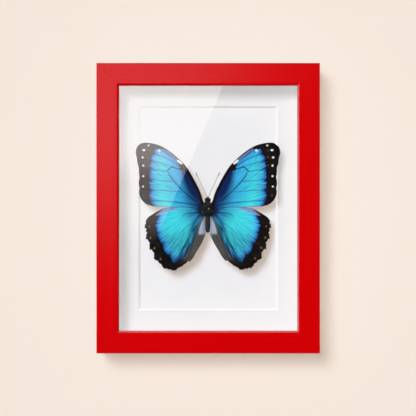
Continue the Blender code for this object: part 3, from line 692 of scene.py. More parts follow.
def add_sheet(name, node, arris, material):
    """Put a plain board in place of a packed one, with its edges broken by the arris."""
    low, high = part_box(node)
    width = high.x - low.x
    height = high.z - low.z
    outline = ((0.0, 0.0), (width, 0.0), (width, height), (0.0, height))
    mesh = plate_mesh(name, outline, high.y - low.y, arris)
    mesh.transform(Matrix.Translation(low))
    return add_piece(name, mesh, [material], [node])


def turned_mesh(name, profile, segments=24):
    """Spin a profile of (radius, y) points about the Y axis."""
    rings = []
    for radius, y in profile:
        angles = even_angles(segments if radius else 1)
        rings.append([(radius * math.cos(a), y, radius * math.sin(a)) for a in angles])
    return finish_mesh(skinned(rings), name)


def box_cutter(name, boxes):
    """Boxes between pairs of corners, as one mesh to cut with."""
    bm = bmesh.new()
    for low, high in boxes:
        for vert in bmesh.ops.create_cube(bm, size=1.0)["verts"]:
            for axis in range(3):
                vert.co[axis] = low[axis] if vert.co[axis] < 0 else high[axis]
    return mesh_from(bm, name)


def cut_mesh(mesh, cutter_mesh, name):
    """The mesh with the cutter taken out of it."""
    whole = bpy.data.objects.new(name + "_whole", mesh)
    cutter = bpy.data.objects.new(name + "_cutter", cutter_mesh)
    bpy.context.collection.objects.link(whole)
    bpy.context.collection.objects.link(cutter)
    boolean = whole.modifiers.new("cut", "BOOLEAN")
    boolean.operation = "DIFFERENCE"
    boolean.solver = "EXACT"
    boolean.object = cutter
    evaluated = whole.evaluated_get(bpy.context.evaluated_depsgraph_get())
    cut = bpy.data.meshes.new_from_object(evaluated)
    bpy.data.objects.remove(whole)
    bpy.data.objects.remove(cutter)
    cut.name = name
    return cut


# Rails

def rail_places():
    """Each rail's name, length, middle of its outer side and turn about Y."""
    width = CAD_HIGH.x - CAD_LOW.x
    height = CAD_HIGH.z - CAD_LOW.z
    return (
        ("frame_rail_bottom", width, (0.0, 0.0, CAD_LOW.z), 0.0),
        ("frame_rail_top", width, (0.0, 0.0, CAD_HIGH.z), math.pi),
        ("frame_rail_left", height, (CAD_LOW.x, 0.0, MIDDLE_Z), math.pi / 2),
        ("frame_rail_right", height, (CAD_HIGH.x, 0.0, MIDDLE_Z), -math.pi / 2),
    )


def rebate():
    """How far in from the outer side the rebate's wall stands, and the y of the lip's back."""
    glass_low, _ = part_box("glazing")
    return glass_low.z - CAD_LOW.z - PACK_SIDE_CLEARANCE, glass_low.y - LAYER_GAP


def rail_corners(edge_round):
    """The rail's section as (inset from the outer side, y, rounding) corners, outer back corner first."""
    low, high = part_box("frame_rail_bottom")
    face = high.z - low.z
    wall, lip_back = rebate()
    return (
        (0.0, BACK_Y, 0.3 * MM),
        (0.0, FRONT_Y, edge_round),
        (face - SIGHT_CHAMFER, FRONT_Y, 0.35 * MM),
        (face, FRONT_Y + SIGHT_CHAMFER, 0.35 * MM),
        (face, lip_back, 0.2 * MM),
        (wall, lip_back, 0.0),
        (wall, BACK_Y, 0.3 * MM),
    )


def rail_mesh(name, length, edge_round):
    """Mitred rail along X. Lacquer is its first material; raw wood is its second."""
    profile = softened(rail_corners(edge_round), support=0.08 * MM)
    _, lip_back = rebate()
    middle = sum(profile, Vector((0.0, 0.0))) / len(profile)
    half = length / 2 - MITRE_GAP
    hairline = MITRE_HAIRLINE / half
    # The second pair of stations keeps the hairline's curved shading off the rail's flat face.
    shares = [-1.0, hairline - 1.0, 1.5 * hairline - 1.0]
    shares += [-1.0 + 2 * i / RAIL_STATIONS for i in range(1, RAIL_STATIONS)]
    shares += [1.0 - 1.5 * hairline, 1.0 - hairline, 1.0]
    eased = [point + (middle - point).normalized() * MITRE_EASE for point in profile]
    rings = []
    for share in shares:
        section = eased if abs(share) == 1.0 else profile
        rings.append([(share * (half - inset), y, inset) for inset, y in section])
    bm = skinned(rings, capped=True)
    bmesh.ops.recalc_face_normals(bm, faces=bm.faces)
    for face in bm.faces:
        centre = face.calc_center_median()
        backward = face.normal.y > 0.7
        in_rebate = face.normal.z > 0.7 and centre.y > lip_back + 0.01 * MM
        face.material_index = int(backward or in_rebate or abs(face.normal.x) > 0.5)
    return finish_mesh(bm, name)


def rail_cutter(name, length):
    """Slots for the retaining tabs and, in the top rail, the hanger's recess."""
    low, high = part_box("retaining_tab_bottom_1")
    reach = (high.x - low.x) / 2 + TAB_SLOT_CLEARANCE
    wall, _ = rebate()
    boxes = []
    for side in (-1, 1):
        middle = side * length * TAB_SPREAD
        corner = (middle - reach, low.y - TAB_SLOT_CLEARANCE, wall - TAB_INTO_RAIL - TAB_SLOT_CLEARANCE)
        boxes.append((corner, (middle + reach, high.y + TAB_SLOT_CLEARANCE, wall + OVERCUT)))
    if name == "frame_rail_top":
        strip_low, strip_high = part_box("sawtooth_hanger")
        inset = CAD_HIGH.z - (strip_low.z + strip_high.z) / 2
        corner = (-RECESS_HALF_WIDTH, strip_low.y - LAYER_GAP, inset - RECESS_HALF_HEIGHT)
        boxes.append((corner, (RECESS_HALF_WIDTH, BACK_Y + OVERCUT, inset + RECESS_HALF_HEIGHT)))
    return box_cutter(name + "_cutter", boxes)


def build_rails(settings):
    """Four rails, cut for the fittings."""
    materials = (red_lacquer(settings), sawn_pine(settings))
    for name, length, place, turn in rail_places():
        whole = rail_mesh(name, length, settings.edge_round)
        mesh = cut_mesh(whole, rail_cutter(name, length), name)
        mark_raw_faces(mesh)
        rail = add_piece(name + "_lacquered", mesh, materials, [name], place, turn)
        # Keeps the lacquer from tinting the wall and mat beside it.
        rail.visible_diffuse = False


def mark_raw_faces(mesh):
    """Everything behind the lip shows raw wood: the rebate, the slots and the hanger's recess."""
    _, lip_back = rebate()
    for face in mesh.polygons:
        if face.center.y > lip_back + LAYER_GAP and face.center.z > 0.5 * MM:
            face.material_index = 1


# Glass, spacers, mat, boards and fittings

def build_glazing():
    """Glass pane behind the rails' lip."""
    pane = add_sheet("picture_glass_pane", "glazing", 0.15 * MM, float_glass())
    # Light reaches the insect as if the pane were clean air; the pane only reflects.
    pane.visible_shadow = False
    pane.visible_diffuse = False


def build_spacers():
    """Four card strips that hold the glass off the mat."""
    card = paper_face("white_lined_strawboard", linear("#F4F2F1"), 0.3 * MM, 0.03 * MM)
    for side in ("top", "bottom", "left", "right"):
        name = "spacer_" + side
        add_sheet(name + "_card", name, 0.1 * MM, card)


def build_mat(settings):
    """Window mat: a paper-faced board whose bevel shows its whiter core."""
    low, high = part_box("window_mat")
    face_paper = paper_face("smooth_cotton_mat_paper", settings.mat_colour, 0.35 * MM, 0.03 * MM)
    core = paper_face("cut_mat_core", linear("#EEEDEB"), 0.2 * MM, 0.05 * MM)
    middle = (low + high) / 2
    half_w = (high.x - low.x) / 2
    half_h = (high.z - low.z) / 2
    thickness = high.y - low.y
    window_w, window_h = mat_window()
    arris = 0.12 * MM
    loops_at = (
        (half_w - arris, half_h - arris, 0.0),
        (window_w + thickness + arris, window_h + thickness + arris, 0.0),
        (window_w + thickness - arris / 2, window_h + thickness - arris / 2, arris / 2),
        (window_w, window_h, thickness - arris),
        (window_w, window_h, thickness),
        (half_w - arris, half_h - arris, thickness),
        (half_w, half_h, thickness - arris),
        (half_w, half_h, arris),
    )
    loops = []
    for reach_x, reach_z, y in loops_at:
        corners = ((-reach_x, -reach_z), (reach_x, -reach_z), (reach_x, reach_z), (-reach_x, reach_z))
        loops.append([(middle.x + x, low.y + y, middle.z + z) for x, z in corners])
    bm = skinned(loops, closed=True)
    bmesh.ops.recalc_face_normals(bm, faces=bm.faces)
    for face in bm.faces:
        # The bevel and the outer edges show the core.
        face.material_index = int(abs(face.normal.y) < 0.9)
    mesh = finish_mesh(bm, "window_mat_board", 15)
    add_piece("window_mat_board", mesh, [face_paper, core], ["window_mat"])


def mat_window():
    """Half width and half height of the window at the mat's back edge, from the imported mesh."""
    _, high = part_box("window_mat")
    edges = [v.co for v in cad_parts["window_mat"].data.vertices if v.co.y > high.y - 0.01 * MM]
    half_w = min(abs(co.x) for co in edges)
    half_h = min(abs(co.z - MIDDLE_Z) for co in edges)
    return half_w, half_h


def build_boards(settings):
    """Board that the butterfly is mounted on, and the hardboard back."""
    paper = paper_face("foam_board_paper", settings.board_colour, 0.4 * MM, 0.03 * MM)
    add_sheet("mounting_foam_board", "mounting_board", 0.2 * MM, paper)
    add_sheet("hardboard_back_panel", "back_panel", 0.3 * MM, tempered_hardboard())


def tab_outline(low, high):
    """Pressed point: sharp at the end in the rail, rounded at the end that the thumb bends."""
    half = (high.x - low.x) / 2
    length = high.z - low.z
    side = ((half, 2.6 * MM, 0.5 * MM), (half, length, 1.6 * MM))
    return softened(((0.0, 0.0, 0.2 * MM), *side, *((-x, z, reach) for x, z, reach in reversed(side))))


def build_fittings():
    """Retaining tabs, sawtooth hanger and its two nails."""
    # Zinc plating shows crystals of about 1 mm.
    zinc = stamped_metal("bright_zinc_plated_steel", "#BEC1C4", 1.0 * MM, 0.32)
    brass = stamped_metal("brassed_steel_nail", "#C2A04E", 0.6 * MM, 0.3)
    tab_low, tab_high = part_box("retaining_tab_bottom_1")
    outline = tab_outline(tab_low, tab_high)
    for rail, length, place, turn in rail_places():
        for number, side in enumerate((-1, 1), start=1):
            name = rail.replace("frame_rail", "retaining_tab") + "_" + str(number)
            offset = Vector((side * length * TAB_SPREAD, tab_low.y, tab_low.z - CAD_LOW.z))
            offset.rotate(Matrix.Rotation(turn, 4, "Y"))
            mesh = plate_mesh(name, outline, tab_high.y - tab_low.y, STAMPED_ARRIS)
            add_piece(name + "_steel", mesh, [zinc], [name], Vector(place) + offset, turn)
    low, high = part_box("sawtooth_hanger")
    middle = (low + high) / 2
    outline = hanger_outline(high.x - low.x, high.z - low.z)
    strip = plate_mesh("sawtooth_strip", outline, high.y - low.y, STAMPED_ARRIS)
    add_piece("sawtooth_strip", strip, [zinc], ["sawtooth_hanger"], (middle.x, low.y, middle.z))
    for number in (1, 2):
        name = "hanger_nail_" + str(number)
        low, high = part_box(name)
        place = ((low.x + high.x) / 2, high.y, (low.z + high.z) / 2)
        nail = turned_mesh(name, nail_profile((high.x - low.x) / 2, high.y - low.y))
        add_piece(name + "_brassed", nail, [brass], [name], place)


def half_round(middle, radius, start):
    """Corners clockwise round half a circle whose middle is on the strip's axis."""
    angles = (start - math.pi * i / 12 for i in range(1, 12))
    return [(middle + radius * math.cos(angle), radius * math.sin(angle), 0.0) for angle in angles]


def hanger_outline(length, width):
    """Strip with rounded ends and a row of teeth along its lower edge."""
    radius = width / 2
    middle = length / 2 - radius
    corners = [(middle, radius, 0.0), *half_round(middle, radius, math.pi / 2)]
    first_root = HANGER_TEETH * TOOTH_PITCH / 2
    for i in range(HANGER_TEETH):
        root = first_root - i * TOOTH_PITCH
        corners.append((root, -radius, TOOTH_ROUND))
        corners.append((root - TOOTH_PITCH / 2, TOOTH_HEIGHT - radius, TOOTH_ROUND))
    corners.append((-first_root, -radius, TOOTH_ROUND))
    return softened([*corners, *half_round(-middle, radius, -math.pi / 2), (-middle, radius, 0.0)], 2)


def nail_profile(head_radius, length):
    """Domed nail along Y: the head's crown is at y = 0 and the point is deepest."""
    head = 0.5 * MM
    shank = 0.6 * MM
    point = 1.5 * MM
    profile = [(0.0, 0.0)]
    for i in range(1, 7):
        angle = i / 6 * math.pi / 2
        profile.append((head_radius * math.sin(angle), -head * (1 - math.cos(angle))))
    neck = ((head_radius * 0.96, -head * 1.02), (shank, -head * 1.05), (shank, point - length))
    return [*profile, *neck, (0.0, -length)]


# Wings

def closed_curve(points, spacing):
    """Smooth closed curve through the points, cut into even steps."""
    here = np.array(points, float)
    before = np.roll(here, 1, 0)
    after = np.roll(here, -1, 0)
    beyond = np.roll(here, -2, 0)
    t = np.linspace(0.0, 1.0, 12, endpoint=False)[:, None, None]
    bend = (2 * before - 5 * here + 4 * after - beyond) * t ** 2
    twist = (3 * here - before - 3 * after + beyond) * t ** 3
    curve = (2 * here + (after - before) * t + bend + twist) / 2
    curve = curve.transpose(1, 0, 2).reshape(-1, 2)
    loop = np.vstack((curve, curve[:1]))
    travelled = np.concatenate(((0.0,), np.cumsum(np.hypot(*np.diff(loop, axis=0).T))))
    stops = np.linspace(0.0, travelled[-1], int(travelled[-1] / spacing), endpoint=False)
    return np.column_stack([np.interp(stops, travelled, loop[:, axis]) for axis in (0, 1)])


def inside(spots, outline):
    """True for the spots that lie inside the closed outline."""
    x = spots[:, 0, None]
    z = spots[:, 1, None]
    x0, z0 = np.array(outline, float).T
    x1 = np.roll(x0, -1)
    z1 = np.roll(z0, -1)
    crosses = (z0 > z) != (z1 > z)
    rise = np.where(z1 == z0, 1.0, z1 - z0)
    return (crosses & (x < x0 + (z - z0) / rise * (x1 - x0))).sum(1) % 2 == 1


def distance(spots, path, closed=False):
    """Distance from each spot to the nearest point of a path."""
    corners = np.array(path, float)
    if closed:
        corners = np.vstack((corners, corners[:1]))
    nearest = np.full(len(spots), np.inf)
    for start, end in zip(corners, corners[1:]):
        step = end - start
        share = np.clip((spots - start) @ step / (step @ step), 0.0, 1.0)
        nearest = np.minimum(nearest, np.hypot(*(spots - start - share[:, None] * step).T))
    return nearest


def depth_inside(spots, outline):
    """Distance to the outline's edge, above zero inside it and below zero outside."""
    gap = distance(spots, outline, closed=True)
    return np.where(inside(spots, outline), gap, -gap)


def fade(values, start, end):
    """Smooth step from 0 at start to 1 at end."""
    share = np.clip((values - start) / (end - start), 0.0, 1.0)
    return share * share * (3 - 2 * share)


def spots_mask(spots, table, softness=0.42):
    """Soft ellipses, each as strong as its row in the table says."""
    mask = np.zeros(len(spots))
    for across, up, half_w, half_h, strength in table:
        reach = np.hypot((spots[:, 0] - across) / half_w, (spots[:, 1] - up) / half_h)
        mask = np.maximum(mask, strength * fade(reach, 1.0 + softness, 1.0 - softness))
    return mask


def stroke_mask(spots, half_width, path, softness=0.35):
    """Soft line of one width along a path."""
    return fade(distance(spots, path), half_width + softness, half_width - softness)


def vein_mask(spots, veins):
    """Soft lines along the veins, each as strong as its row in the table says."""
    mask = np.zeros(len(spots))
    for strength, half_width, path in veins:
        mask = np.maximum(mask, strength * stroke_mask(spots, half_width, path, 0.4))
    return mask


def band(depth):
    """The field's depth as a share of the 9 mm that the colour bands span, from 1 mm outside it."""
    return np.clip((depth + 1.0) / 9.0, 0.0, 1.0)


def radial_grain(spots, root):
    """Coordinates along and across the rays from the wing's root, in millimetres."""
    ray = spots - np.array(root)
    return np.column_stack((np.hypot(*ray.T), 30 * np.arctan2(ray[:, 1], ray[:, 0]), np.zeros(len(ray))))


def root_rays(spots, root, spokes):
    """Uneven rays from a wing's root, from dark at zero to light at one, gone 25 mm out."""
    x, z = (spots - root).T
    angle = np.arctan2(z, x)
    wave = 0.5 + 0.5 * np.sin(angle * spokes + 1.3 * np.sin(angle * spokes * 0.37) + 0.6)
    return wave ** 1.5 * fade(np.hypot(x, z), 25.0, 11.0) * fade(np.hypot(x, z), 4.5, 7.5)


def forewing_marks(spots):
    """Where each marking of a right forewing lies, and how strong it is. Distances are in millimetres."""
    x, z = spots.T
    depth = depth_inside(spots, FOREWING_FIELD)
    in_field = fade(depth, -0.3, 0.7)
    # The dark front of the wing ends at navy_x, over a width of softness.
    navy_x = np.interp(z, (0.0, 3.0, 8.0, 14.0, 20.0, 25.0, 28.0), (10.0, 12.5, 15.2, 17.0, 18.4, 19.0, 19.2))
    softness = np.interp(z, (0.0, 8.0, 14.0, 20.0, 28.0), (8.0, 6.5, 4.5, 3.2, 2.0))
    costa = distance(spots, FOREWING_LEADING)
    blob = fade(depth_inside(spots, FOREWING_BLOB), -0.5, 0.4)
    strip_width = np.interp(x, (19.0, 21.5), (2.5, 1.1))
    strip = fade(costa - strip_width, 0.0, -0.6) * fade(x, 37.0, 34.0)
    trailing = fade(distance(spots, FOREWING_TRAILING), 0.5, 0.15) * 0.75
    bar = stroke_mask(spots, 0.42, FOREWING_BAR)
    costal_line = stroke_mask(spots, 0.25, FOREWING_COSTAL_LINE) * 0.35
    base = fade(np.hypot(x, z - 0.5), 8.0, 4.4) * 0.8
    # The rays are plain behind the wing's middle and die away in the dark front of it.
    rays = root_rays(spots, (1.0, 1.5), 24.0) * fade(z - 0.6 * x, 5.0, 0.0)
    near = fade(np.hypot(x, z - 2.0), 27.0, 8.0) * (1.0 - 0.6 * rays)
    front = fade((navy_x - x) / softness, -1.0, 1.0) * fade(depth, -0.9, -0.4) * (1.0 - 0.3 * rays)
    dark_root = fade(np.hypot(x, z - 1.5), 19.0, 6.0) * 0.8 * (1.0 - 0.35 * rays) * in_field
    return {
        "field": band(depth),
        "shade": np.maximum(fade(x, 31.0, 38.0) * 0.1, near * 0.9) * in_field,
        "deep": fade(x - navy_x, 20.0, 1.0) * 0.9 * in_field,
        "dusk": front + dark_root * (1.0 - front),
        "vein": vein_mask(spots, FOREWING_VEINS),
        "ink": np.maximum.reduce((blob, strip, trailing, bar * 0.85, costal_line, base)),
        "lilac": stroke_mask(spots, *FOREWING_LILAC_STREAK) * 0.7,
        "brown": spots_mask(spots, FOREWING_BROWN_SPOTS),
        "white": np.maximum(
            spots_mask(spots, FOREWING_WHITE_SPOTS), stroke_mask(spots, *FOREWING_WHITE_STREAK)
        ),
        "grain": radial_grain(spots, (0.0, 2.0)),
    }


def hindwing_marks(spots):
    """Where each marking of a right hindwing lies, and how strong it is. Distances are in millimetres."""
    x, z = spots.T
    depth = depth_inside(spots, HINDWING_FIELD)
    in_field = fade(depth, -0.3, 0.7)
    # Distance to the crease, above zero on the blue side
    beside = distance(spots, HINDWING_CREASE)
    beside = np.where(inside(spots, HINDWING_FOLD), -beside, beside)
    fold = fade(beside, 0.7, -0.9) * fade(z, -41.0, -33.0)
    # Fine dark rays in the bare fold
    angle = np.arctan2(z + 1.0, x - 2.0)
    fold_rays = (0.5 + 0.5 * np.sin(angle * 80.0 + 2.0 * np.sin(angle * 23.0))) ** 2 * fold * 0.4
    reach = np.interp(z, (-36.0, -28.0, -20.0, -12.0, -6.0), (8.0, 10.0, 10.0, 9.0, 6.0))
    inner_shade = fade((reach - beside) / reach, 0.0, 0.8) * 0.9 * fade(z, -4.0, -9.0)
    low_shade = fade(z, -12.0, -26.0) * 0.42
    root = np.hypot(x / 1.3, z + 1.5)
    rays = root_rays(spots, (1.0, -0.5), 22.0)
    root_shade = fade(root, 19.0, 5.0) * (1.0 - 0.6 * rays)
    patch = fade(depth_inside(spots, HINDWING_PATCH), -0.5, 0.8) * fade(z, -20.3, -17.6)
    strip = fade(depth_inside(spots, HINDWING_STRIP), -0.9, 0.7) * fade(x, 17.0, 27.0)
    return {
        "field": band(depth + 0.8 * fade(z, -8.0, -16.0)),
        "shade": np.maximum.reduce((inner_shade, low_shade, root_shade)) * in_field * fade(beside, -0.6, 0.4),
        "deep": fade(root, 15.0, 6.0) * 0.85 * in_field,
        "dusk": fade(root, 13.5, 3.0) * 0.95 * in_field * (1.0 - 0.35 * rays),
        "vein": vein_mask(spots, HINDWING_VEINS) * in_field * (0.35 + 0.65 * fade(root, 24.0, 8.0)),
        "crease": fade(np.abs(beside), 1.5, 0.0) * 0.85 * fade(z, -6.0, -16.0) * in_field,
        "fold": fold,
        "ink": np.maximum.reduce((
            fade(distance(spots, HINDWING_LEADING), 0.7, 0.1) * 0.6,
            fade(root, 8.0, 3.8) * 0.8,
            fold_rays * (1.0 - patch),
        )),
        "lilac": strip * 0.85,
        "patch": patch,
        "brown": spots_mask(spots, HINDWING_BROWN_SPOTS),
        "grain": radial_grain(spots, (2.0, -1.0)),
    }


def wing_relief(spots, veins, lift, tuck):
    """How far the wing's face stands towards the glass: its rise, its veins and the tuck under the body."""
    x, z = spots.T
    share = np.clip(np.abs(x - BODY_AXIS) / WING_SPAN_HALF, 0.0, 1.0)
    ridge = np.zeros(len(spots))
    for _, half_width, path in veins:
        ridge = np.maximum(ridge, fade(distance(spots, path), 2.5 * half_width, 0.0))
    lower = np.clip(-z / 45.0, 0.0, 1.0)
    rise = WING_RISE * share * share + lift * lower * lower
    return rise + VEIN_RELIEF * (ridge - 0.5) - tuck * fade(x, 3.4, 1.4)


def wing_sheet(edge, teeth):
    """Points and triangles of a fine flat mesh inside the wing's edge, whose outer margin has small teeth."""
    outline = closed_curve(edge, WING_SPACING)
    travelled = np.arange(len(outline)) * WING_SPACING
    jag = np.sin(travelled * 2 * math.pi / 2.9) + 0.7 * np.sin(travelled * 2 * math.pi / 1.9 + 1.0)
    outer = fade(outline[:, 0], 14.0, 18.0) * fade(outline[:, 1], -6.0, -10.0)
    along = np.roll(outline, -1, 0) - np.roll(outline, 1, 0)
    across = np.column_stack((along[:, 1], -along[:, 0])) / np.linalg.norm(along, axis=1)[:, None]
    outline = outline + across * (teeth * jag * outer)[:, None]
    low = outline.min(0)
    high = outline.max(0)
    row_step = WING_SPACING * math.sqrt(3) / 2
    rows = np.arange(low[1], high[1], row_step)
    columns = np.arange(low[0], high[0], WING_SPACING)
    x = columns[None, :] + (np.arange(len(rows)) % 2)[:, None] * WING_SPACING / 2
    grid = np.column_stack((x.ravel(), np.repeat(rows, len(columns))))
    grid = grid[inside(grid, outline)]
    grid = grid[distance(grid, outline, closed=True) > WING_SPACING * 0.6]
    spots = np.vstack((outline, grid))
    ring = list(range(len(outline)))
    flat, _, faces, *_ = delaunay_2d_cdt([Vector(p) for p in spots], [], [ring], 1, 1e-7)
    flat = np.array([(p.x, p.y) for p in flat])
    triangles = np.array([face for face in faces if len(face) == 3])
    return flat, triangles, len(outline)


def wing_mesh(name, flat, triangles, rim_count, relief, marks, mirrored, stretch):
    """Upper and lower faces of a wing, joined round the rim."""
    x = flat[:, 0]
    if mirrored:
        x = BODY_AXIS - (x - BODY_AXIS) * stretch[0]
    z = flat[:, 1] * (stretch[1] if mirrored else 1.0)
    upper = np.column_stack((x * MM, wing_root_y(name) - relief * MM, MIDDLE_Z + z * MM))
    lower = upper + (0.0, SHEET_GAP * MM, 0.0)
    count = len(flat)
    rim = np.arange(rim_count)
    following = np.roll(rim, -1)
    sides = np.column_stack((rim, rim + count, following + count, following))
    if mirrored:
        triangles = triangles[:, ::-1]
        sides = sides[:, ::-1]
    faces = triangles.tolist() + (triangles[:, ::-1] + count).tolist() + sides.tolist()
    mesh = bpy.data.meshes.new(name)
    mesh.from_pydata(np.vstack((upper, lower)).tolist(), [], faces)
    under = np.zeros(len(faces), np.int32)
    under[len(triangles):2 * len(triangles)] = 1
    mesh.polygons.foreach_set("material_index", under)
    for mark, values in marks.items():
        both = np.concatenate((values, values)).astype(np.float32)
        kind, field = ("FLOAT", "value") if both.ndim == 1 else ("FLOAT_VECTOR", "vector")
        mesh.attributes.new(mark, kind, "POINT").data.foreach_set(field, both.ravel())
    mesh.shade_smooth()
    mesh.set_sharp_from_angle(angle=math.radians(50))
    mesh.update()
    return mesh


def build_wings(settings):
    """Four wings. The left ones mirror the right ones and differ a little in size, as they do in life."""
    materials = [wing_scales(settings), wing_underside()]
    kinds = (
        ("forewing", FOREWING_EDGE, FOREWING_VEINS, forewing_marks, (0.995, 1.0), 0.0, 0.0, 0.0),
        ("hindwing", HINDWING_EDGE, HINDWING_VEINS, hindwing_marks, (0.997, 1.012), 3.2, 1.9, 0.22),
    )
    for kind, edge, veins, find_marks, stretch, lift, tuck, teeth in kinds:
        flat, triangles, rim_count = wing_sheet(edge, teeth)
        triangles = wound_towards_viewer(flat, triangles)
        marks = find_marks(flat)
        relief = wing_relief(flat, veins, lift, tuck)
        for side in ("left", "right"):
            name = kind + "_" + side
            mesh = wing_mesh(name, flat, triangles, rim_count, relief, marks, side == "left", stretch)
            add_piece(name + "_scaled", mesh, materials, [name])


def wing_root_y(name):
    """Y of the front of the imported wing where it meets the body, before it rises."""
    corners = [v.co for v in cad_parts[name].data.vertices]
    nearest = min(abs(co.x / MM - BODY_AXIS) for co in corners)
    root = [co.y for co in corners if abs(co.x / MM - BODY_AXIS) < nearest + 1.0]
    return min(root)


def wound_towards_viewer(flat, triangles):
    """Triangles ordered so that every one faces the glass."""
    a, b, c = (flat[triangles[:, i]] for i in range(3))
    area = (b[:, 0] - a[:, 0]) * (c[:, 1] - a[:, 1]) - (b[:, 1] - a[:, 1]) * (c[:, 0] - a[:, 0])
    return np.where((area > 0)[:, None], triangles, triangles[:, ::-1])


# Body, antennae, pin and pillar

def body_at(heights):
    """The body's half widths, half depths and middles at these heights, in millimetres."""
    table = np.array(BODY_SECTIONS)
    return [np.interp(-heights, -table[:, 0], table[:, i]) for i in (1, 2, 3)]


def abdomen_swell(height):
    """The abdomen's segments overlap like tiles: each swells towards its lower edge."""
    if height > ABDOMEN_TOP:
        return 1.0
    share = (ABDOMEN_TOP - height) / ABDOMEN_SEGMENT % 1.0
    return 0.94 + 0.08 * share


def thorax_middle():
    """Centre of the body's widest part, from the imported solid."""
    low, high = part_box("butterfly_body")
    return Vector(((low.x + high.x) / 2, (low.y + high.y) / 2, MIDDLE_Z))


def body_mesh(name):
    """Head, thorax and abdomen as one skin, with eyes and palps set into it."""
    heights = np.linspace(BODY_SECTIONS[0][0], BODY_SECTIONS[-1][0], BODY_RINGS)
    sections = list(zip(heights, *body_at(heights)))
    rings = [[(0.0, sections[0][3] * MM, (sections[0][0] + 0.25) * MM)]]
    for height, half_w, half_d, back in sections:
        ring = []
        for angle in even_angles(BODY_SIDES):
            ripple = 1.0 + 0.03 * math.sin(5 * angle + height * 1.7) * math.sin(height * 2.3 + angle)
            swell = abdomen_swell(height) * ripple
            x = half_w * swell * math.cos(angle)
            y = back + half_d * swell * math.sin(angle)
            ring.append((x * MM, y * MM, height * MM))
        rings.append(ring)
    rings.append([(0.0, sections[-1][3] * MM, (sections[-1][0] - 0.2) * MM)])
    bm = skinned(rings)
    # Eyes, and the palps between them
    for side in (-1, 1):
        add_ball(bm, (1.35 * side, -0.9, 6.4), (0.85, 0.95, 1.0), 1)
        add_ball(bm, (0.45 * side, -1.3, 7.7), (0.35, 0.5, 0.75), 0)
    return finish_mesh(bm, name, 60)


def add_ball(bm, centre, radii, material_index):
    """Egg-shaped part, in millimetres."""
    made = bmesh.ops.create_uvsphere(bm, u_segments=20, v_segments=12, radius=1.0)["verts"]
    for vert in made:
        vert.co = Vector([(centre[axis] + vert.co[axis] * radii[axis]) * MM for axis in range(3)])
        for face in vert.link_faces:
            face.material_index = material_index


def build_body(settings):
    """Body with its eyes, and the hair on its head and thorax."""
    centre = thorax_middle()
    cuticle = chitin("dark_thorax_cuticle", "#070707", "#171314", 0.55)
    eye = chitin("compound_eye_lens", "#0C0605", "#1B100D", 0.2)
    mesh = body_mesh("butterfly_body_cuticle")
    add_piece("butterfly_body_cuticle", mesh, [cuticle, eye], ["butterfly_body"], centre)
    mark_abdomen(mesh)
    hair = hair_mesh("butterfly_body_hair", settings.hair_count, settings.hair_length / MM)
    add_piece("butterfly_body_hair", hair, [body_hair()], ["butterfly_body"], centre)


def mark_abdomen(mesh):
    """The abdomen is bluer than the thorax, so it takes a third material."""
    mesh.materials.append(chitin("scaled_abdomen_cuticle", "#0B0E15", "#2C313D", 0.6))
    for face in mesh.polygons:
        if face.center.z < WAIST * MM and face.material_index == 0:
            face.material_index = 2


def hair_mesh(name, count, longest):
    """Tapered hairs that lean back along the body; three-sided, so that they stay solid."""
    rng = np.random.default_rng(11)
    # Four hairs in five stand on the thorax, and the rest on the head.
    height = np.where(rng.random(count) < 0.8, rng.uniform(-5.4, 5.0, count), rng.uniform(5.0, 7.9, count))
    angle = rng.uniform(0.0, 2 * math.pi, count)
    half_w, half_d, back = body_at(height)
    root = np.column_stack((half_w * np.cos(angle), back + half_d * np.sin(angle), height)) * 0.97
    out = np.column_stack((np.cos(angle) / half_w, np.sin(angle) / half_d, np.zeros(count)))
    out /= np.linalg.norm(out, axis=1)[:, None]
    leans = ((0.0, 0.35), (0.0, 0.25), (-0.9, 0.45))
    lean = np.column_stack([rng.normal(middle, spread, count) for middle, spread in leans])
    way = out * 0.55 + lean
    way /= np.linalg.norm(way, axis=1)[:, None]
    # The head's hairs are half as long.
    length = rng.uniform(0.45, 1.0, count) * longest * np.where(height > 5.0, 0.5, 1.0)
    droop = out * -0.12 * length[:, None]
    side = np.cross(way, out)
    side /= np.linalg.norm(side, axis=1)[:, None]
    up = np.cross(side, way)
    radius = rng.uniform(0.07, 0.14, count)
    rings = []
    for share, slim in ((0.0, 1.0), (0.55, 0.75)):
        spine = root + way * (length * share)[:, None] + droop * share * share
        for corner in even_angles(3):
            offset = side * math.cos(corner) + up * math.sin(corner)
            rings.append(spine + offset * (radius * slim)[:, None])
    rings.append(root + way * length[:, None] + droop)
    points = np.stack(rings, axis=1).reshape(-1, 3) * MM
    pattern = ((0, 1, 4, 3), (1, 2, 5, 4), (2, 0, 3, 5), (3, 4, 6), (4, 5, 6), (5, 3, 6), (2, 1, 0))
    faces = [[7 * i + k for k in face] for i in range(count) for face in pattern]
    mesh = bpy.data.meshes.new(name)
    mesh.from_pydata(points.tolist(), [], faces)
    # Hairs clump into tufts of one tint, 1.5 mm or so across.
    tufts = rng.integers(0, count, 50)
    nearest = np.linalg.norm(root[:, None] - root[tufts][None], axis=2).argmin(1)
    tint = rng.normal(0.25, 0.42, len(tufts))[nearest] + rng.normal(0.0, 0.12, count)
    tint = np.clip(tint * fade(height, 6.2, 4.6) * (0.45 + 0.55 * fade(height, -4.5, -1.0)), 0.0, 1.0)
    tints = np.repeat(tint, 7).astype(np.float32)
    mesh.attributes.new("tint", "FLOAT", "POINT").data.foreach_set("value", tints)
    mesh.shade_smooth()
    return mesh


def antenna_path(name):
    """Centre line of a packed antenna, from its root to its tip, in metres."""
    corners = np.array([v.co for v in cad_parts[name].data.vertices])
    corners = corners[np.argsort(corners[:, 2])]
    levels = np.linspace(corners[0, 2], corners[-1, 2], 7)
    return np.array([corners[np.argsort(np.abs(corners[:, 2] - level))[:6]].mean(0) for level in levels])


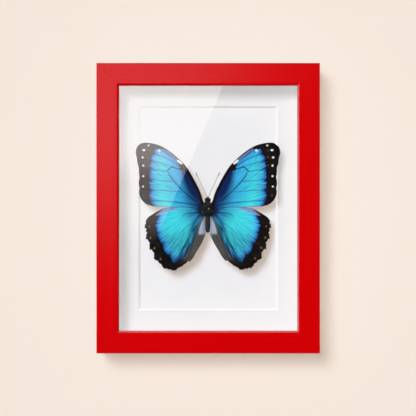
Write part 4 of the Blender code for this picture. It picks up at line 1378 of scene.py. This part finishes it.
def antenna_mesh(name):
    """Feeler of many short joints that thickens into a slim club."""
    path = antenna_path(name)
    travelled = np.concatenate(((0.0,), np.cumsum(np.linalg.norm(np.diff(path, axis=0), axis=1))))
    length = travelled[-1]
    steps = int(length / MM / ANTENNA_JOINT) * 4
    rings = []
    for step in range(steps + 1):
        share = step / steps
        at = length * share
        spine = Vector([np.interp(at, travelled, path[:, axis]) for axis in range(3)])
        # The club takes up the last quarter.
        club = math.sin(max(0.0, (share - 0.74) / 0.26) * math.pi * 0.62)
        radius = ANTENNA_ROOT_RADIUS + (ANTENNA_CLUB_RADIUS - ANTENNA_ROOT_RADIUS) * club
        radius *= 1.0 - 0.14 * (step % 4 == 0)
        angles = even_angles(10)
        if step in (0, steps):
            angles = angles[:1]
            radius = 0.0
        rings.append([spine + Vector((math.cos(a), math.sin(a), 0.0)) * radius * MM for a in angles])
    return finish_mesh(skinned(rings), name, 60)


def build_antennae():
    """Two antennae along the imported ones."""
    feeler = chitin("jointed_antenna_cuticle", "#120D0B", "#2E2420", 0.5)
    for side in ("left", "right"):
        node = "antenna_" + side
        add_piece(node + "_jointed", antenna_mesh(node), [feeler], [node])


def build_pin_and_pillar():
    """Steel insect pin with a round head, and the foam pillar that it stands in."""
    low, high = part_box("insect_pin")
    head_radius = (high.x - low.x) / 2
    place = ((low.x + high.x) / 2, 0.0, (low.z + high.z) / 2)
    shank = 0.25 * MM
    point = 1.2 * MM
    profile = [(0.0, low.y)]
    for i in range(1, 10):
        angle = math.pi * i / 11
        profile.append((head_radius * math.sin(angle), low.y + head_radius * (1 - math.cos(angle))))
    profile += [(shank, low.y + 2 * head_radius), (shank, high.y - point), (0.0, high.y)]
    steel = stamped_metal("polished_pin_steel", "#D6D7D9", 0.4 * MM, 0.2)
    pin = turned_mesh("insect_pin", profile)
    add_piece("insect_pin_steel", pin, [steel], ["insect_pin"], place)
    foam = paper_face("cut_polyethylene_foam", linear("#EDEDEC"), 0.5 * MM, 0.12 * MM)
    add_sheet("mounting_foam_pillar", "mounting_pillar", 0.3 * MM, foam)


# Stage

def painted_wall(settings):
    """Matt wall paint with a roller's faint stipple. From behind it is clear, so that the back shows."""
    material, add = start_material("matt_cream_wall_paint")
    place = add("TexCoord").outputs["Object"]
    # Roller stipple is about 1.5 mm across.
    stipple = add("TexNoise", {"Vector": place, "Scale": 1 / (1.5 * MM)})
    bump = add("Bump", {"Height": stipple, "Strength": 0.05, "Distance": 0.05 * MM})
    paint = add("BsdfDiffuse", {"Color": (*settings.wall_colour, 1.0), "Normal": bump})
    clear = add("BsdfTransparent")
    behind = add("NewGeometry").outputs["Backfacing"]
    return finish_material(material, add("MixShader", {0: behind, 1: paint, 2: clear}))


def glowing_card(name, radiance):
    """Evenly lit white card."""
    material, add = start_material(name)
    return finish_material(material, add("Emission", {"Strength": radiance}))


def softbox_glow(reach):
    """Softbox that is brightest a little above the wings and fades out towards its lower end."""
    material, add = start_material("fading_softbox_glow")
    place = add("TexCoord").outputs["Object"]
    height = add("SeparateXYZ", {"Vector": place}).outputs["Z"]
    low = MIDDLE_Z - 26.0 * MM * reach
    high = MIDDLE_Z + 94.0 * MM * reach
    share = add("MapRange", {"Value": height, "From Min": low, "From Max": high})
    levels = (
        (0.0, 0.0), (1.0, 0.55), (0.12, 0.22), (0.18, 0.32), (0.35, 0.345), (0.40, 0.39), (0.47, 0.6),
        (0.55, 0.82), (0.65, 0.9), (0.75, 0.75), (0.85, 0.6),
    )
    greys = [(at, (level, level, level, 1.0)) for at, level in levels]
    fall = add("ValToRGB", {"Fac": share}, greys)
    strength = add("Math", {0: fall, 1: SOFTBOX_RADIANCE}, operation="MULTIPLY")
    glow = add("Emission", {"Color": (1.06, 1.02, 1.1, 1.0), "Strength": strength})
    return finish_material(material, glow)


def rectangle(low, high):
    """Corners of the upright or level rectangle between two opposite corners."""
    across, up = (axis for axis in range(3) if low[axis] != high[axis])
    corners = [list(low) for _ in range(4)]
    corners[1][across] = corners[2][across] = high[across]
    corners[2][up] = corners[3][up] = high[up]
    return corners


def stage_plane(name, corners, material, reflections_only=False):
    """Flat stage surface through its corners."""
    mesh = bpy.data.meshes.new(name)
    mesh.from_pydata([tuple(corner) for corner in corners], [], [tuple(range(len(corners)))])
    mesh.materials.append(material)
    plane = bpy.data.objects.new(name, mesh)
    bpy.context.collection.objects.link(plane)
    if reflections_only:
        plane.visible_camera = False
        plane.visible_diffuse = False
        plane.visible_shadow = False
    return plane


def build_room(settings):
    """Wall that the frame hangs on, and the floor."""
    wall_y = BACK_Y + 0.05 * MM
    corners = rectangle((-3.0, wall_y, FLOOR_Z), (3.0, wall_y, 2.5))
    wall = stage_plane("cream_wall", corners, painted_wall(settings))
    # The wall neither bounces nor blocks light, so that the frame's back is lit in views from behind.
    wall.visible_shadow = False
    paint = paper_face("pale_floor_paint", linear("#EEE6DD"), 2.0 * MM, 0.05 * MM)
    floor = stage_plane("pale_floor", rectangle((-3.0, -4.0, FLOOR_Z), (3.0, 4.0, FLOOR_Z)), paint)
    for surface in (wall, floor):
        surface.visible_diffuse = False
        surface.visible_glossy = False


def build_cards():
    """Softbox and glowing cards that the glass and lacquer reflect. Distances are from the frame's front."""
    # The softbox is drawn as it stands in the glass, and this much larger where it really is.
    reach = 1 + SOFTBOX_DISTANCE / LENS_DISTANCE
    # Its right edge falls across the glass from top right to lower left, in millimetres.
    edge = ((102.0, 300.0), (11.2, 89.9), (-15.0, 30.0), (-26.0, 4.0), (-45.0, -38.0))
    left = [(-300.0, z) for _, z in edge]
    points = []
    for x, z in (*edge, *reversed(left)):
        points.append((x * MM * reach, FRONT_Y - SOFTBOX_DISTANCE, MIDDLE_Z + z * MM * reach))
    stage_plane("softbox", points, softbox_glow(reach), reflections_only=True)
    near = FRONT_Y - 0.2
    far = FRONT_Y + 0.01
    behind = BACK_Y + 0.7
    cards = (
        ("left_strip_light", (-0.7, near, -0.2), (-0.7, far, 0.5), "left_strip_glow", 7.0),
        ("top_strip_light", (-0.35, near, 0.9), (0.35, far, 0.9), "top_strip_glow", 7.0),
        ("room_behind", (-2.5, behind, -1.2), (2.5, behind, 2.4), "room_glow", 0.7),
    )
    for name, low, high, glow, radiance in cards:
        stage_plane(name, rectangle(low, high), glowing_card(glow, radiance), reflections_only=True)


def add_light(name, kind, colour, strength, aim, **shape):
    """Light that shines along the aim and doesn't show in reflections."""
    data = bpy.data.lights.new(name, kind)
    data.color = colour
    data.energy = strength
    for key, value in shape.items():
        setattr(data, key, value)
    light = bpy.data.objects.new(name, data)
    light.rotation_euler = Vector(aim).to_track_quat("-Z", "Y").to_euler()
    light.visible_glossy = False
    light.visible_transmission = False
    bpy.context.collection.objects.link(light)
    return light


def limit_light(light, pieces, state):
    """Lets a light reach only these pieces, or all but these."""
    group = bpy.data.collections.new(light.name + "_pieces")
    for index, piece in enumerate(pieces):
        group.objects.link(piece)
        group.collection_objects[index].light_linking.link_state = state
    light.light_linking.receiver_collection = group


def build_lights(settings):
    """Key and lens fill. The deep box keeps some of the room's fill out, so shadows inside are deeper."""
    pieces = [piece for piece in bpy.context.scene.objects if piece.type == "MESH"]
    paper = [piece for piece in pieces if any(word in piece.name for word in MAT_WORDS)]
    board = [piece for piece in pieces if any(word in piece.name for word in BOARD_WORDS)]
    # The key's shadows fall right and down, and blur as those of a window 21 degrees wide.
    aim = (0.275, 1.0, -0.32)
    # Name, pieces, whether it lights them or all others; then colour and share of the key and of the fill
    rigs = (
        ("room", paper + board, "EXCLUDE", (0.791, 0.901, 1.0), 1.0, (1.0, 0.917, 0.842), 1.0),
        ("mat", paper, "INCLUDE", (0.926, 0.954, 1.0), 1.034, (1.0, 0.965, 0.90), 0.871),
        ("board", board, "INCLUDE", (0.688, 0.833, 0.96), 1.30, (1.0, 0.842, 0.693), 0.92),
    )
    for name, lit, state, key_colour, key_share, fill_colour, fill_share in rigs:
        key = settings.key_strength * key_share
        window = add_light("soft_key_" + name, "SUN", key_colour, key, aim, angle=math.radians(21))
        limit_light(window, lit, state)
        fill = settings.fill_power * fill_share
        lamp = add_light("lens_fill_" + name, "POINT", fill_colour, fill, aim, shadow_soft_size=0.01)
        lamp.location = (0.0, FRONT_Y - settings.camera_distance, MIDDLE_Z)
        limit_light(lamp, lit, state)
    # A grazing light brightens the bevels of the mat that face up and left.
    graze = add_light("bevel_light", "SUN", (1.0, 0.98, 0.97), 3.2, (1.0, 0.03, -1.0), use_shadow=False)
    limit_light(graze, [piece for piece in paper if "mat_board" in piece.name], "INCLUDE")
    add_light("back_fill", "SUN", (1.0, 0.97, 0.93), 2.6, (-0.5, -1.0, -0.5), angle=0.5)


def build_world():
    """Warm air: dim for surfaces, bright where the camera looks straight at it, absent from reflections."""
    world = bpy.data.worlds.new("warm_room")
    bpy.context.scene.world = world
    world.cycles_visibility.glossy = False
    add = emptied_tree(world)
    seen = add("LightPath").outputs["Is Camera Ray"]
    soft = add("MapRange", {"Value": seen, "To Min": 0.045, "To Max": 0.85})
    glow = add("Background", {"Color": linear("#FFF4EA"), "Strength": soft})
    add("OutputWorld", {"Surface": glow})


def build_camera(settings):
    """Lens in front of the frame's middle, and the film that it exposes."""
    data = bpy.data.cameras.new("lens")
    data.sensor_width = 36.0
    data.lens = data.sensor_width * settings.camera_distance / settings.view_width
    camera = bpy.data.objects.new("lens", data)
    camera.location = (-0.11 * MM, FRONT_Y - settings.camera_distance, MIDDLE_Z + 0.15 * MM)
    camera.rotation_euler = (math.pi / 2, 0.0, 0.0)
    bpy.context.collection.objects.link(camera)
    bpy.context.scene.camera = camera
    view = bpy.context.scene.view_settings
    view.view_transform = "Standard"
    # Near white the lens's film rolls off instead of clipping; levels below the knee stay as they are.
    view.use_curve_mapping = True
    view.curve_mapping.white_level = (FILM_WHITE, FILM_WHITE, FILM_WHITE)
    for curve, knee, slope in zip(view.curve_mapping.curves, (0.93, 0.88, 0.88), (0.1, 0.27, 0.27)):
        curve.points[0].location = (0.0, 0.0)
        curve.points[1].location = (1.0, knee + slope * (FILM_WHITE - knee))
        curve.points.new(knee / FILM_WHITE, knee)
        for point in curve.points:
            point.handle_type = "VECTOR"
    view.curve_mapping.update()


# Operators

class FRAMEDBUTTERFLY_OT_rails(bpy.types.Operator):
    """Build four mitred rails, lacquered in front and raw behind"""

    bl_idname = "framed_butterfly.rails"
    bl_label = "Frame Rails"

    def execute(self, context):
        build_rails(context.scene.butterfly_rails)
        return {"FINISHED"}


class FRAMEDBUTTERFLY_OT_glazing(bpy.types.Operator):
    """Build the glass pane"""

    bl_idname = "framed_butterfly.glazing"
    bl_label = "Glass"

    def execute(self, context):
        build_glazing()
        return {"FINISHED"}


class FRAMEDBUTTERFLY_OT_backing(bpy.types.Operator):
    """Build the spacers, window mat, mounting board and back panel"""

    bl_idname = "framed_butterfly.backing"
    bl_label = "Mat and Boards"

    def execute(self, context):
        settings = context.scene.butterfly_backing
        build_spacers()
        build_mat(settings)
        build_boards(settings)
        return {"FINISHED"}


class FRAMEDBUTTERFLY_OT_fittings(bpy.types.Operator):
    """Build the retaining tabs, the sawtooth hanger and its nails"""

    bl_idname = "framed_butterfly.fittings"
    bl_label = "Metal Fittings"

    def execute(self, context):
        build_fittings()
        return {"FINISHED"}


class FRAMEDBUTTERFLY_OT_wings(bpy.types.Operator):
    """Build the four wings with their markings"""

    bl_idname = "framed_butterfly.wings"
    bl_label = "Wings"

    def execute(self, context):
        build_wings(context.scene.butterfly_insect)
        return {"FINISHED"}


class FRAMEDBUTTERFLY_OT_body(bpy.types.Operator):
    """Build the body with its hair"""

    bl_idname = "framed_butterfly.body"
    bl_label = "Body"

    def execute(self, context):
        build_body(context.scene.butterfly_insect)
        return {"FINISHED"}


class FRAMEDBUTTERFLY_OT_antennae(bpy.types.Operator):
    """Build the two antennae"""

    bl_idname = "framed_butterfly.antennae"
    bl_label = "Antennae"

    def execute(self, context):
        build_antennae()
        return {"FINISHED"}


class FRAMEDBUTTERFLY_OT_pin(bpy.types.Operator):
    """Build the insect pin and its foam pillar"""

    bl_idname = "framed_butterfly.pin"
    bl_label = "Pin and Pillar"

    def execute(self, context):
        build_pin_and_pillar()
        return {"FINISHED"}


class FRAMEDBUTTERFLY_OT_stage(bpy.types.Operator):
    """Build the wall, floor, lights, reflectors and camera"""

    bl_idname = "framed_butterfly.stage"
    bl_label = "Stage"

    def execute(self, context):
        settings = context.scene.butterfly_stage
        build_room(settings)
        build_cards()
        build_lights(settings)
        build_world()
        build_camera(settings)
        return {"FINISHED"}


OPERATORS = (
    FRAMEDBUTTERFLY_OT_rails,
    FRAMEDBUTTERFLY_OT_glazing,
    FRAMEDBUTTERFLY_OT_backing,
    FRAMEDBUTTERFLY_OT_fittings,
    FRAMEDBUTTERFLY_OT_wings,
    FRAMEDBUTTERFLY_OT_body,
    FRAMEDBUTTERFLY_OT_antennae,
    FRAMEDBUTTERFLY_OT_pin,
    FRAMEDBUTTERFLY_OT_stage,
)


class FRAMEDBUTTERFLY_PT_panel(bpy.types.Panel):
    """Settings and operators of the framed butterfly"""

    bl_idname = "FRAMEDBUTTERFLY_PT_panel"
    bl_label = "Framed Butterfly"
    bl_space_type = "VIEW_3D"
    bl_region_type = "UI"
    bl_category = "Framed Butterfly"

    def draw(self, context):
        for name in SETTINGS:
            group = getattr(context.scene, name)
            box = self.layout.box()
            for key in group.__annotations__:
                box.prop(group, key)
        for operator in OPERATORS:
            self.layout.operator(operator.bl_idname)


SETTINGS = {
    "butterfly_rails": RailSettings,
    "butterfly_backing": BackingSettings,
    "butterfly_insect": ButterflySettings,
    "butterfly_stage": StageSettings,
}


def register():
    for name, group in SETTINGS.items():
        bpy.utils.register_class(group)
        setattr(bpy.types.Scene, name, PointerProperty(type=group))
    for operator in OPERATORS:
        bpy.utils.register_class(operator)
    bpy.utils.register_class(FRAMEDBUTTERFLY_PT_panel)


def unregister():
    bpy.utils.unregister_class(FRAMEDBUTTERFLY_PT_panel)
    for operator in reversed(OPERATORS):
        bpy.utils.unregister_class(operator)
    for name, group in reversed(SETTINGS.items()):
        delattr(bpy.types.Scene, name)
        bpy.utils.unregister_class(group)


def main():
    register()
    bpy.ops.framed_butterfly.rails()
    bpy.ops.framed_butterfly.glazing()
    bpy.ops.framed_butterfly.backing()
    bpy.ops.framed_butterfly.fittings()
    bpy.ops.framed_butterfly.wings()
    bpy.ops.framed_butterfly.body()
    bpy.ops.framed_butterfly.antennae()
    bpy.ops.framed_butterfly.pin()
    bpy.ops.framed_butterfly.stage()


if __name__ == "__main__":
    main()
